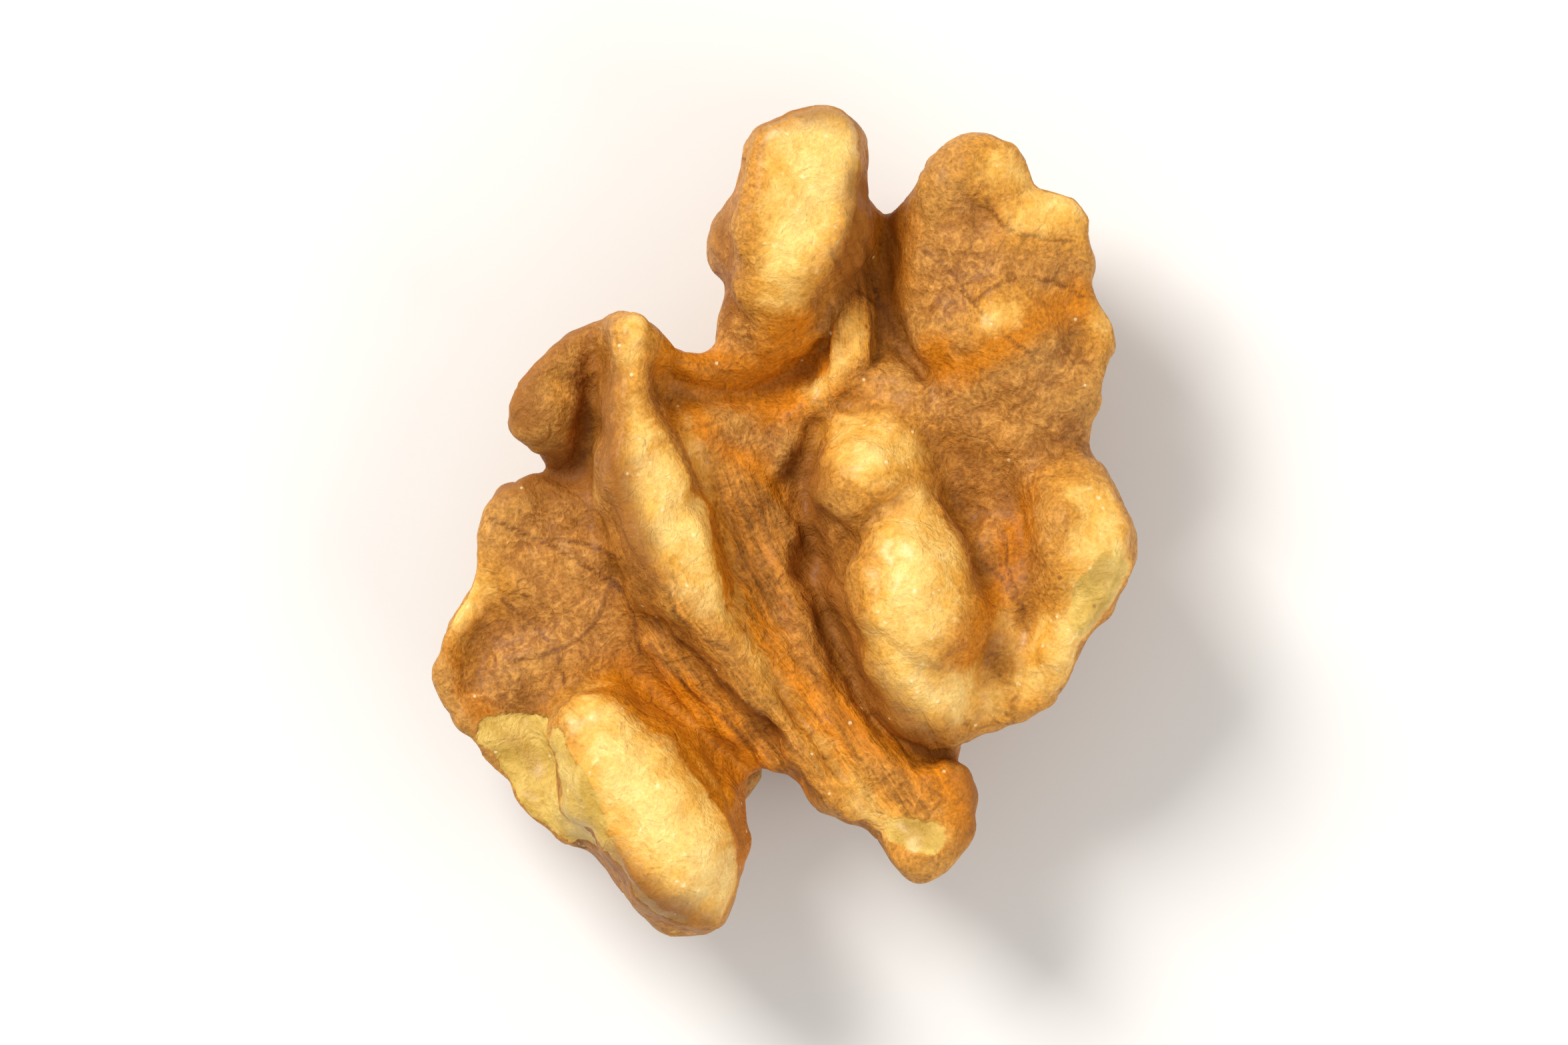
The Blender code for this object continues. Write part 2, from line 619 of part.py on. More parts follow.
def kernel_half():
    kernel = bpy.data.objects.new("kernel_half", closed_mesh("kernel_half", kernel_field(SKIN_STEP)))
    bpy.context.scene.collection.objects.link(kernel)
    kernel.data.materials.append(kernel_material())
    thin_out = kernel.modifiers.new("fewer faces", "DECIMATE")
    thin_out.ratio = MOST_TRIANGLES / (2 * len(kernel.data.polygons))
    thin_out.use_collapse_triangulate = True
    cut = kernel.modifiers.new("flat spot", "BOOLEAN")
    cut.operation = "DIFFERENCE"
    cut.solver = "EXACT"
    cut.object = flat_cutter()
    return kernel


def main():
    for old in list(bpy.data.objects):
        bpy.data.objects.remove(old)
    kernel_half()


main()
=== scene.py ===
# %% [markdown]
# # Half of a walnut kernel
#
# A walnut kernel grows into every hollow of its shell, so a half looks like a small brain. This
# lesson builds one half, lying on its furrowed outer side. Its inner side is up: two wings of
# swollen lobes, a sharp crest between them, and a tongue that ends in the root tip. All of it is
# one closed skin, worked out with numpy and painted with one procedural material. One unit in the
# numbers below is a millimetre, and Blender gets metres.

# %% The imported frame
import math

import bpy
import numpy as np
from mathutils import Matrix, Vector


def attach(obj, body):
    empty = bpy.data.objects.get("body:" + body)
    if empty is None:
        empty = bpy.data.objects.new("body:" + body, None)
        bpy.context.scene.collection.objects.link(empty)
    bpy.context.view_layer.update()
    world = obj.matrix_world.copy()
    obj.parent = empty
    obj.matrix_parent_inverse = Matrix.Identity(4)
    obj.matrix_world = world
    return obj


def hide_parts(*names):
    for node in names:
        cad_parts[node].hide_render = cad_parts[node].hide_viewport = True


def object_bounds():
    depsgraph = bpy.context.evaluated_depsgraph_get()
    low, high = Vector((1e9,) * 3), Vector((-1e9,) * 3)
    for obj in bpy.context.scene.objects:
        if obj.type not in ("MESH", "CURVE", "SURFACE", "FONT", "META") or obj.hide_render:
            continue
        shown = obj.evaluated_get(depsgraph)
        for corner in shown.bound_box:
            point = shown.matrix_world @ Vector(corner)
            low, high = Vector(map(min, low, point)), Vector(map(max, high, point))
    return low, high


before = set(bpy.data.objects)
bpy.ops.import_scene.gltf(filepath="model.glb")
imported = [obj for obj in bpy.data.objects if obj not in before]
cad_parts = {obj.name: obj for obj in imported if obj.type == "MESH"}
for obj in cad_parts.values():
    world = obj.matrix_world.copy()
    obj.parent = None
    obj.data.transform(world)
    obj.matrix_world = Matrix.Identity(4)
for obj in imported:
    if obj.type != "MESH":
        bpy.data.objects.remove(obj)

MM = 0.001
cad_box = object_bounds()
cad_low = np.array(cad_box[0]) / MM
cad_high = np.array(cad_box[1]) / MM
print("the packed kernel reaches from", cad_low.round(2), "to", cad_high.round(2), "mm")

# %% [markdown]
# ## The plan of the kernel
#
# Seen from above, the real kernel has a wavy outline, because each lobe ended against a fold of the
# shell. One could sculpt it by hand, but a list of points along the edge is easier to check and to
# change. The same holds for the forms inside it: each is a path or a flattened ball with a few
# numbers, so one line is one lobe.

# %% The outline, anticlockwise from the tip of the finger
OUTLINE = [
    (1.5, 17.9), (-0.1, 17.8), (-1.2, 17.2), (-1.6, 16.1), (-2.2, 14.6), (-3.0, 13.3), (-3.2, 12.0),
    (-2.5, 10.5), (-2.4, 9.0), (-2.6, 8.0), (-3.4, 7.8), (-4.3, 8.4), (-5.1, 9.1), (-6.3, 9.6),
    (-7.7, 9.5), (-9.3, 8.6), (-10.5, 7.4), (-11.2, 5.9), (-11.6, 4.7), (-11.1, 4.0), (-10.6, 3.3),
    (-11.5, 2.8), (-12.4, 2.2), (-12.9, 0.9), (-13.0, -0.4), (-13.2, -1.6), (-13.9, -2.6),
    (-14.5, -3.6), (-14.8, -5.0), (-15.1, -6.1), (-14.8, -7.3), (-14.0, -8.2), (-13.3, -8.9),
    (-13.3, -9.7), (-12.9, -10.4), (-12.1, -10.9), (-11.3, -11.5), (-10.2, -12.3), (-9.1, -13.2),
    (-8.2, -14.1), (-7.5, -15.4), (-6.6, -16.5), (-5.4, -17.3), (-4.2, -17.8), (-2.8, -17.7),
    (-1.5, -16.6), (-0.8, -15.0), (-0.5, -13.4), (-0.7, -11.9), (-0.6, -11.0), (0.1, -10.7),
    (1.0, -10.9), (1.9, -11.7), (3.2, -12.9), (4.3, -14.0), (5.0, -14.7), (5.9, -15.1),
    (6.8, -14.6), (7.8, -13.8), (8.5, -13.1), (8.7, -12.0), (8.6, -10.6), (8.4, -9.6), (8.8, -9.0),
    (10.0, -8.6), (11.3, -8.0), (12.2, -7.2), (12.8, -6.3), (13.1, -5.1), (13.5, -4.2),
    (14.2, -3.5), (14.7, -2.6), (15.0, -1.0), (15.1, 1.0), (15.0, 2.4), (14.5, 3.5), (13.9, 4.3),
    (13.8, 5.1), (13.9, 6.0), (14.2, 7.0), (14.6, 7.8), (14.7, 8.7), (14.3, 9.6), (13.7, 10.5),
    (13.8, 11.6), (13.5, 12.5), (13.5, 13.5), (12.8, 14.6), (11.8, 15.0), (11.1, 15.0),
    (10.9, 15.7), (10.2, 16.7), (9.3, 17.2), (8.2, 17.4), (7.1, 17.1), (6.1, 16.3), (5.4, 15.3),
    (4.7, 14.6), (4.2, 14.8), (4.3, 15.8), (4.2, 16.9), (3.1, 17.8),
]
WIDTH, LENGTH, HEIGHT = cad_high - cad_low
SHELL_RIM = 11.0
SHELL_POWER = 2.15
print(len(OUTLINE), "points along the outline")

# %% The ridges: (x, y, z, radius, half width of a flat top, lean of that top) along each
RIDGES = {
    "finger": [
        (1.6, 15.5, 11.1, 1.2, 1.7, 0), (1.2, 13.8, 11.5, 1.0, 1.7, 0),
        (0.6, 12.0, 11.4, 0.9, 1.2, 0), (0.1, 10.4, 10.4, 0.9, 0.9, 0),
        (0.2, 9.0, 8.9, 0.9, 0.8, 0),
    ],
    "finger side": [
        (-1.3, 13.6, 7.6, 1.8), (-1.5, 11.4, 8.2, 1.5), (-1.1, 9.4, 8.4, 1.4),
        (-0.8, 7.6, 8.0, 1.3),
    ],
    "finger wall": [
        (2.8, 15.0, 8.2, 0.9), (2.4, 12.6, 8.8, 0.9), (1.9, 10.6, 8.8, 0.8), (2.2, 9.0, 8.4, 0.7),
    ],
    "collar": [
        (-1.4, 7.8, 8.0, 1.2), (-2.9, 7.2, 8.8, 1.0), (-4.4, 7.8, 10.0, 1.0),
        (-5.6, 8.3, 11.0, 1.1),
    ],
    "fold at the hollow": [
        (3.3, 9.2, 8.4, 0.7), (3.0, 7.6, 8.8, 0.7), (2.0, 6.3, 8.4, 0.7), (0.9, 5.2, 7.8, 0.6),
    ],
    "strand in the gap": [(3.8, 14.0, 7.0, 0.6), (3.3, 11.8, 7.6, 0.5), (3.2, 9.8, 8.0, 0.5)],
    "crest": [
        (-5.9, 8.4, 11.5, 0.9, 0.1, -0.2), (-6.2, 6.4, 12.0, 0.8, 0.3, -0.3),
        (-5.9, 4.0, 12.2, 0.8, 0.6, -0.35), (-5.1, 2.0, 12.2, 0.7, 1.0, -0.35),
        (-4.4, 0.0, 12.1, 0.7, 0.9, -0.35), (-3.6, -2.0, 11.6, 0.7, 0.7, -0.35),
        (-2.7, -3.6, 11.1, 0.6, 0.5, -0.3), (-1.6, -5.2, 10.5, 0.5, 0.3, -0.2),
        (-0.1, -7.2, 9.9, 0.5, 0, 0), (1.6, -9.6, 9.5, 0.5, 0, 0), (3.2, -12.0, 9.2, 0.6, 0, 0),
        (4.3, -13.6, 8.8, 0.7, 0, 0),
    ],
    "tongue": [
        (-1.2, -0.6, 6.3, 2.4), (0.9, -4.4, 6.5, 2.6), (3.2, -7.8, 6.7, 2.6),
        (5.0, -10.6, 6.9, 2.7), (5.7, -13.0, 7.1, 2.7),
    ],
    "tongue flank": [
        (-4.6, -4.4, 8.2, 1.0), (-2.6, -6.4, 7.9, 1.0), (-0.8, -8.4, 7.5, 1.0),
        (0.9, -10.2, 7.2, 0.9), (2.6, -11.9, 7.2, 0.8), (4.2, -13.4, 7.4, 0.8),
    ],
    "upper strand": [
        (-1.4, -2.6, 8.9, 0.5), (0.4, -5.6, 8.9, 0.5), (2.6, -8.6, 9.0, 0.5),
        (4.7, -11.3, 8.9, 0.5),
    ],
    "lower strand": [
        (0.2, -1.6, 8.3, 0.6), (1.6, -5.0, 8.5, 0.6), (3.6, -8.0, 8.7, 0.6), (5.8, -10.8, 8.7, 0.6),
    ],
    "tongue edge": [
        (4.8, -8.4, 6.8, 1.8), (7.1, -9.8, 7.1, 1.7), (7.7, -11.4, 7.3, 1.5),
        (7.3, -13.0, 7.4, 1.4),
    ],
    "tongue tip": [
        (4.8, -12.4, 8.2, 1.0, 0.8, 0), (5.8, -13.4, 8.1, 0.9, 1.0, 0),
        (7.0, -12.8, 8.2, 0.8, 0.4, 0),
    ],
    "left knob": [
        (-8.4, 7.6, 7.2, 1.8), (-9.4, 6.6, 7.4, 2.1), (-9.7, 5.2, 7.2, 2.1), (-9.0, 4.2, 6.8, 1.8),
    ],
    "left edge": [
        (-11.0, 1.6, 7.2, 1.1), (-12.0, -0.2, 7.3, 1.1), (-13.0, -2.8, 7.6, 1.1),
        (-13.7, -5.2, 7.7, 1.1), (-13.4, -7.0, 7.6, 1.1), (-12.0, -8.6, 7.2, 1.0),
    ],
    "broken rim": [
        (-12.4, -9.4, 7.6, 0.7, 0.4, 0), (-10.6, -10.2, 7.6, 0.7, 1.8, 0),
        (-9.2, -11.7, 7.6, 0.7, 1.9, 0), (-8.3, -13.2, 7.7, 0.7, 1.0, 0),
        (-7.2, -15.0, 7.7, 0.7, 0.3, 0), (-5.7, -16.6, 7.7, 0.7, 0, 0),
        (-4.0, -17.3, 7.5, 0.7, 0, 0), (-2.4, -17.0, 7.3, 0.7, 0, 0),
    ],
    "left bulb": [
        (-7.4, -8.4, 9.4, 2.0), (-6.2, -10.5, 9.8, 2.7), (-4.5, -12.9, 9.8, 3.0),
        (-3.6, -14.8, 9.2, 2.6),
    ],
    "left bulb flank": [
        (-6.4, -7.6, 8.2, 1.4), (-4.6, -9.2, 8.4, 1.8), (-2.9, -10.9, 8.3, 1.9),
        (-2.1, -12.8, 8.1, 1.7),
    ],
    "shoulder": [(2.9, 1.2, 9.0, 1.2), (2.8, -0.6, 8.8, 1.0), (3.2, -2.6, 8.6, 1.0)],
    "neck of the bulbs": [(4.1, 1.9, 9.3, 1.6), (5.0, 0.2, 9.5, 1.7)],
    "main bulb": [
        (5.5, -1.4, 10.4, 2.5), (5.8, -3.0, 10.3, 2.8), (5.7, -4.8, 9.8, 2.6),
        (6.1, -6.4, 9.4, 2.2),
    ],
    "cup rim": [
        (6.0, -7.0, 9.2, 1.5), (7.6, -7.6, 8.8, 1.2), (9.5, -7.4, 8.5, 1.1), (11.2, -6.4, 8.8, 1.3),
        (12.2, -4.4, 9.3, 1.7), (12.8, -2.2, 9.5, 2.1), (12.8, -0.2, 9.5, 2.3),
        (12.3, 1.4, 9.1, 2.0), (11.0, 2.5, 8.4, 1.3),
    ],
    "right brow": [(6.3, 12.2, 8.2, 1.7), (7.3, 14.7, 9.2, 1.9), (8.9, 15.3, 9.2, 1.7)],
    "right knob": [(12.2, 11.6, 8.2, 1.4), (13.3, 8.8, 8.4, 1.5), (12.6, 7.0, 7.8, 1.4)],
    "fold by the small bulb": [
        (3.4, 6.2, 7.9, 0.7), (4.8, 6.0, 8.2, 0.8), (6.2, 5.2, 8.6, 0.8), (7.2, 4.3, 8.2, 0.7),
    ],
    "cup floor": [
        (8.2, -6.3, 8.6, 1.2, 0.9, 0), (9.2, -4.3, 8.4, 1.2, 1.2, 0), (9.7, -1.6, 8.0, 1.2, 1.0, 0),
    ],
}
RIDGE_DROP = 4.0
RIDGE_FLARE = 0.22
RIDGE_BLEND = 0.8
print(len(RIDGES), "ridges")

# %% The pads: centre, radii, turn about the upright axis in degrees
PADS = {
    "core": [(0.0, -0.5, 4.2), (12.0, 13.6, 4.0), 0],
    "left sheet": [(-9.4, -3.2, 5.2), (7.4, 7.8, 3.1), 0],
    "left shelf": [(-8.4, -10.4, 5.4), (5.0, 7.2, 2.6), 35],
    "saddle": [(-1.4, 2.6, 5.6), (4.8, 5.4, 3.1), 0],
    "upper slope": [(-3.4, 4.6, 6.2), (3.0, 3.8, 3.6), 0],
    "right dome": [(8.8, 10.9, 6.2), (5.1, 6.2, 4.6), 0],
    "right patch": [(11.3, 13.3, 8.8), (2.1, 1.6, 1.5), -20],
    "right lump": [(9.2, 8.8, 9.6), (1.5, 1.1, 1.3), 0],
    "right slope": [(9.6, 7.2, 5.8), (4.6, 4.0, 4.2), 0],
    "right sheet": [(9.8, 4.4, 5.0), (5.4, 4.8, 4.2), 0],
    "small bulb": [(3.8, 2.3, 8.8), (2.5, 2.7, 3.4), 0],
    "cup floor": [(9.2, -3.0, 5.4), (3.8, 5.4, 3.5), 0],
    "tongue fan": [(5.2, -10.8, 6.0), (3.5, 4.2, 3.4), 0],
}
PAD_BLEND = 2.2
print(len(PADS), "pads")

# %% The clefts: (x, y, z, radius) along the bottom of each
CLEFTS = {
    "beside the left bulb": [
        (0.0, -11.6, 3.0, 0.5), (-0.8, -10.2, 5.4, 0.4), (-2.2, -8.9, 6.9, 0.35),
        (-4.2, -7.2, 7.7, 0.3), (-6.4, -5.4, 8.2, 0.2),
    ],
    "between the wings": [
        (4.7, 16.0, 5.0, 0.5), (4.5, 13.0, 7.2, 0.5), (4.5, 10.5, 8.0, 0.5), (4.9, 8.4, 8.3, 0.4),
        (6.0, 6.8, 8.5, 0.3),
    ],
    "below the collar": [
        (-4.2, 6.0, 9.9, 0.3), (-2.6, 5.9, 9.2, 0.4), (-0.6, 6.2, 8.1, 0.7), (0.8, 6.9, 8.0, 0.5),
    ],
    "beside the tongue": [
        (1.6, 4.4, 8.6, 0.3), (1.0, 1.6, 8.4, 0.3), (1.6, -1.6, 8.3, 0.3), (2.6, -4.8, 8.3, 0.3),
        (4.1, -7.6, 8.2, 0.3), (6.0, -9.0, 8.3, 0.3), (8.8, -9.2, 7.6, 0.2),
    ],
    "between the bulbs": [
        (6.6, 1.1, 11.5, 0.4), (5.4, 1.3, 11.6, 0.5), (4.0, 0.8, 11.5, 0.4), (3.2, -0.6, 10.9, 0.3),
    ],
    "below the left knob": [
        (-12.4, 2.9, 5.6, 0.5), (-10.4, 3.0, 6.8, 0.4), (-8.4, 2.5, 7.6, 0.3),
        (-7.6, 4.4, 8.3, 0.2),
    ],
    "behind the left knob": [(-7.8, 8.9, 8.8, 0.2), (-7.5, 7.0, 8.8, 0.2), (-7.7, 4.6, 8.4, 0.2)],
    "rim of the left bulb": [
        (-8.0, -12.9, 8.6, 0.1), (-7.2, -14.3, 8.2, 0.2), (-6.2, -15.7, 8.0, 0.3),
        (-4.8, -16.6, 7.8, 0.3), (-3.2, -17.0, 7.8, 0.2),
    ],
}
CLEFT_REACH = 12.0
CLEFT_FLARE = 0.12
CLEFT_BLEND = 0.9
BODY_LEVEL = 6.4
SHELL_BLEND = 0.9
print(len(CLEFTS), "clefts")

# %% [markdown]
# ## Distances instead of faces
#
# Lobes that flow into each other are hard to join face by face. Here every form is a distance: a
# number at each point of space that is below zero inside the form. The lesser of two distances
# joins two forms, and rounding the place where they meet melts them together, which is how real
# lobes meet. Clefts work the other way round.

# %% Smooth paths through a few points
def smooth_path(points, spacing=0.6, closed=False):
    """Points along a Catmull-Rom curve: between two points it is the cubic whose slope at each is
    half the step from the one before to the one after. Missing last columns are zero."""
    points = np.array(points, float)
    if not closed:
        points = np.pad(points, ((0, 0), (0, 6 - points.shape[1])))
        ends = np.vstack([2 * points[0] - points[1], points, 2 * points[-1] - points[-2]])
    else:
        ends = np.vstack([points[-1], points, points[:2]])
    runs = []
    for before, start, finish, after in zip(ends, ends[1:], ends[2:], ends[3:]):
        count = max(2, int(np.linalg.norm((finish - start)[:3]) / spacing) + 1)
        t = np.linspace(0, 1, count, endpoint=False)[:, None]
        square = 2 * before - 5 * start + 4 * finish - after
        cube = 3 * (start - finish) + after - before
        runs.append(start + 0.5 * ((finish - before) * t + square * t**2 + cube * t**3))
    if not closed:
        runs.append(points[-1:])
    return np.vstack(runs)


print("the crest as a curve has", len(smooth_path(RIDGES["crest"])), "points")

# %% Distance to a wall
FAR = 9.0


def to_wall(points, path, top_side, drop, flare):
    """Distance to a wall along the path: its edge is rounded with the radius, round a flat top
    where one is given, it hangs below the edge by the drop (or stands above it, top_side -1), and
    it gets thicker by the flare."""
    nearest = np.full(points.shape[:-1], FAR)
    for start, finish in zip(path, path[1:]):
        along = (finish - start)[:2]
        offset = points[..., :2] - start[:2]
        t = np.clip(offset @ along / (along @ along), 0, 1)
        level, radius, flat, lean = (start[k] + t * (finish[k] - start[k]) for k in (2, 3, 4, 5))
        sideways = np.linalg.norm(offset - t[..., None] * along, axis=-1)
        side = (along[0] * offset[..., 1] - along[1] * offset[..., 0]) / np.linalg.norm(along)
        beyond = top_side * (points[..., 2] - level - lean * np.clip(side, -flat, flat))
        thickness = radius + flare * np.clip(-beyond, 0, drop)
        upright = np.where(beyond > 0, beyond, np.minimum(beyond + drop, 0))
        nearest = np.minimum(nearest, np.hypot(np.maximum(sideways - flat, 0), upright) - thickness)
    return nearest


crest = smooth_path(RIDGES["crest"])
inside = to_wall(crest[:, :3], crest, 1, RIDGE_DROP, RIDGE_FLARE)
print("the crest's path lies", -inside.max().round(2), "to", -inside.min().round(2), "mm inside it")

# %% Distance to a pad
def to_pad(points, centre, radii, turn):
    """Nearly the distance to a flattened ball: its own radius measure, scaled back to millimetres
    by its slope."""
    x, y, z = np.moveaxis(points - np.array(centre), -1, 0)
    cos, sin = math.cos(math.radians(turn)), math.sin(math.radians(turn))
    offset = np.stack([x * cos + y * sin, y * cos - x * sin, z], axis=-1)
    measure = np.linalg.norm(offset / radii, axis=-1)
    slope = np.linalg.norm(offset / np.square(radii), axis=-1)
    return measure * (measure - 1) / np.maximum(slope, 1e-6)


# %% Distance to the outline
def to_outline(x, y):
    """Distance in the plane to the closed outline, below zero inside: the nearest of all its short
    straight runs, with the sign from how many of them a line to the right crosses."""
    path = smooth_path(OUTLINE, spacing=0.8, closed=True)
    nearest = np.full(x.shape, np.inf)
    inside = np.zeros(x.shape, bool)
    for start, finish in zip(path, np.roll(path, -1, axis=0)):
        along = finish - start
        dx, dy = x - start[0], y - start[1]
        t = np.clip((dx * along[0] + dy * along[1]) / (along @ along), 0, 1)
        nearest = np.minimum(nearest, (dx - t * along[0]) ** 2 + (dy - t * along[1]) ** 2)
        if along[1] != 0:
            inside ^= ((start[1] > y) != (finish[1] > y)) & (dx < dy * along[0] / along[1])
    return np.where(inside, -1, 1) * np.sqrt(nearest)


middle = -to_outline(np.zeros(1), np.zeros(1))
print("the middle of the kernel lies", middle.round(1), "mm inside the outline")

# %% Melting two forms together
def melt(a, b, blend):
    """The lesser of two distances, rounded over where they are nearly the same."""
    overlap = np.maximum(blend - np.abs(a - b), 0) / blend
    return np.minimum(a, b) - overlap**2 * blend / 4


print("where two ridges touch, melting adds", -melt(0, 0, RIDGE_BLEND), "mm")

# %% [markdown]
# ## Waves instead of noise
#
# The outer side of a real kernel is folded without any pattern, yet its folds keep an even
# distance. A sum of waves of one length that run in random directions does just that: it never
# repeats, and the lines where it is zero wander at an even distance. Pressing the skin in along
# those lines gives the furrows. How far it is pressed in is softened a little, because a furrow
# that runs nearly along the skin would otherwise leave a paper-thin fin.

# %% Sums of waves
WAVES = 28


def wave_sum(points, spacing, seed):
    """A sum of cosine waves of one length in seeded directions, scaled to an even spread of about
    one."""
    random = np.random.default_rng(seed)
    directions = random.normal(size=(WAVES, 3))
    directions *= 2 * np.pi / spacing / np.linalg.norm(directions, axis=1, keepdims=True)
    phases = random.uniform(0, 2 * np.pi, WAVES)
    total = np.zeros(points.shape[:-1])
    for direction, phase in zip(directions, phases):
        total += np.cos(points @ direction + phase)
    return total * np.sqrt(2 / WAVES)


def ease(share):
    """A share from 0 to 1, eased at both ends."""
    share = np.clip(share, 0, 1)
    return share**2 * (3 - 2 * share)


# %% Furrows of the outer side: (spacing, depth, width, seed)
FURROWS = [(8.4, 2.0, 0.42, 11), (4.3, 0.38, 0.32, 12)]
FURROW_TOP, FURROW_START, FURROW_RUN_IN, FURROW_REACH = 7.8, 0.08, 4.0, 2.6
FURROW_SOFTENING = 0.3
UNEVENNESS = [(5.2, 0.11, 3), (2.7, 0.06, 4)]


def furrows(points, shell):
    """How far the shell wall is pressed in at each point: along the furrows, close to the wall,
    below the rim."""
    near_wall = ease(1.2 + shell / FURROW_REACH)
    lower = ease((FURROW_TOP - points[..., 2]) / FURROW_RUN_IN)
    below_rim = FURROW_START + (1 - FURROW_START) * lower
    pressed = np.zeros(shell.shape)
    for spacing, depth, width, seed in FURROWS:
        pressed += depth * np.exp(-((wave_sum(points, spacing, seed) / width) ** 2))
    return pressed * near_wall * below_rim


def softened(values, step):
    """The values averaged with their neighbours until what is thinner than the softening is
    gone."""
    values = values.copy()
    for _ in range(round(2 * (FURROW_SOFTENING / step) ** 2)):
        for axis in range(3):
            row = np.moveaxis(values, axis, 0)
            row[1:-1] = (row[:-2] + 2 * row[1:-1] + row[2:]) / 4
    return values


# %% [markdown]
# ## The block of sample points
#
# The distances are worked out on a fine, even grid of points. A form only matters near itself, so
# each one is worked out in its own window of the grid, which saves most of the time. At the end the
# shell trims the block: it is the outline, which shrinks downwards as the inside of a walnut shell
# does.

# %% The inside of the shell
def to_shell(axes, step):
    """Distance to the inside of the shell: the outline, shrinking downwards, divided by its slope.
    The outline's distance is worked out once, and every layer looks its own share of it up, halfway
    values mixed."""
    x, y, z = axes
    depth = np.clip((SHELL_RIM - z) / SHELL_RIM, 0, 0.999)
    shrink = (1 - depth**SHELL_POWER) ** (1 / SHELL_POWER)
    spacing = 0.3
    spread = 1 / shrink.min()
    ends = [spread * abs(axis[0]) for axis in (x, y)]
    wide = [np.arange(-end - spacing, end + 2 * spacing, spacing) for end in ends]
    halves = (WIDTH / 2, LENGTH / 2)
    close = [axis[np.abs(axis) < half + 2] for axis, half in zip(wide, halves)]
    table = to_outline(*np.meshgrid(*close, indexing="ij"))
    layers = []
    for s in shrink:
        pairs = zip((x, y), close)
        at = [np.clip((axis / s - c[0]) / spacing, 0, len(c) - 1.001) for axis, c in pairs]
        i, j = (a.astype(int) for a in at)
        u, v = (at[0] - i)[:, None], (at[1] - j)[None, :]
        four = [table[np.ix_(i + a, j + b)] for a in (0, 1) for b in (0, 1)]
        near, far = (four[k] * (1 - v) + four[k + 1] * v for k in (0, 2))
        layers.append(s * (near * (1 - u) + far * u))
    wall = np.stack(layers, axis=-1)
    slope = np.linalg.norm(np.gradient(wall, step), axis=0)
    return np.maximum(wall / np.maximum(slope, 1), -z)


# %% The block and its forms
SKIN_STEP = 0.21


class Block:
    """A block of sample points, each with its distance to the kernel's skin, below zero inside."""

    def __init__(self, step):
        margin = 1.5
        reach = np.array((WIDTH / 2, LENGTH / 2, HEIGHT)) + margin
        self.step = step
        self.low = np.array((-reach[0], -reach[1], -margin))
        self.axes = [np.arange(a, b, step) for a, b in zip(self.low, reach)]
        self.values = np.full([len(axis) for axis in self.axes], FAR)

    def window(self, low, high):
        """The slices of the block inside a box, and the sample points there."""
        ends = [np.searchsorted(axis, (a, b)) for axis, a, b in zip(self.axes, low, high)]
        cut = tuple(slice(*pair) for pair in ends)
        spans = [axis[part] for axis, part in zip(self.axes, cut)]
        return cut, np.stack(np.meshgrid(*spans, indexing="ij"), axis=-1)

    def add_ridge(self, path, blend):
        reach = (path[:, 3] + path[:, 4]).max() + RIDGE_FLARE * RIDGE_DROP + 2 * blend
        low = path[:, :3].min(0) - reach
        low[2] -= RIDGE_DROP
        cut, points = self.window(low, path[:, :3].max(0) + reach)
        wall = to_wall(points, path, 1, RIDGE_DROP, RIDGE_FLARE)
        self.values[cut] = melt(self.values[cut], wall, blend)

    def add_pad(self, centre, radii, turn, blend):
        reach = max(radii[:2]) + 2 * blend
        cut, points = self.window(np.array(centre) - reach, np.array(centre) + reach)
        self.values[cut] = melt(self.values[cut], to_pad(points, centre, radii, turn), blend)

    def carve_cleft(self, path, blend):
        reach = path[:, 3].max() + 2 * blend
        high = path[:, :3].max(0) + reach
        high[2] += CLEFT_REACH
        cut, points = self.window(path[:, :3].min(0) - reach, high)
        wall = to_wall(points, path, -1, CLEFT_REACH, CLEFT_FLARE)
        self.values[cut] = -melt(-self.values[cut], wall, blend)

    def trim(self, blend):
        """Trims the block with the shell and its furrows, and adds the unevenness where the skin is
        near."""
        shell = to_shell(self.axes, self.step)
        self.values = -melt(-self.values, -shell, blend)
        near = (self.values < 2.5) & (self.values > -3.0)
        points = np.stack([axis[i] for axis, i in zip(self.axes, np.nonzero(near))], axis=-1)
        pressed = np.zeros(shell.shape)
        pressed[near] = furrows(points, shell[near])
        shell += softened(pressed, self.step)
        self.values[near] = -melt(-self.values[near], -shell[near], blend)
        for spacing, height, seed in UNEVENNESS:
            self.values[near] += height * wave_sum(points, spacing, seed)


# %% Work the block out
block = Block(SKIN_STEP)
for centre, radii, turn in PADS.values():
    block.add_pad(centre, radii, turn, PAD_BLEND)
for points in RIDGES.values():
    block.add_ridge(smooth_path(points), RIDGE_BLEND)
for points in CLEFTS.values():
    block.carve_cleft(smooth_path(points), CLEFT_BLEND)
block.values = melt(block.values, block.axes[2] - BODY_LEVEL, PAD_BLEND)
block.trim(SHELL_BLEND)
share = round(float((block.values < 0).mean()), 3)
print("a block of", block.values.shape, "points,", share, "of it inside")

# %% [markdown]
# ## From distances to a skin
#
# The skin is where the distance is zero. Each small cube of eight samples that the skin crosses
# gets one point, at the middle of the crossings on its edges, and each sample edge that the skin
# cuts gets one face between the four cubes around it. The result is an even net of four-sided faces
# without seams or poles.

# %% Make every crossing plain
def fill(values, where, level):
    """Sets the values there and returns how many there are."""
    values[where] = level
    return where.sum()


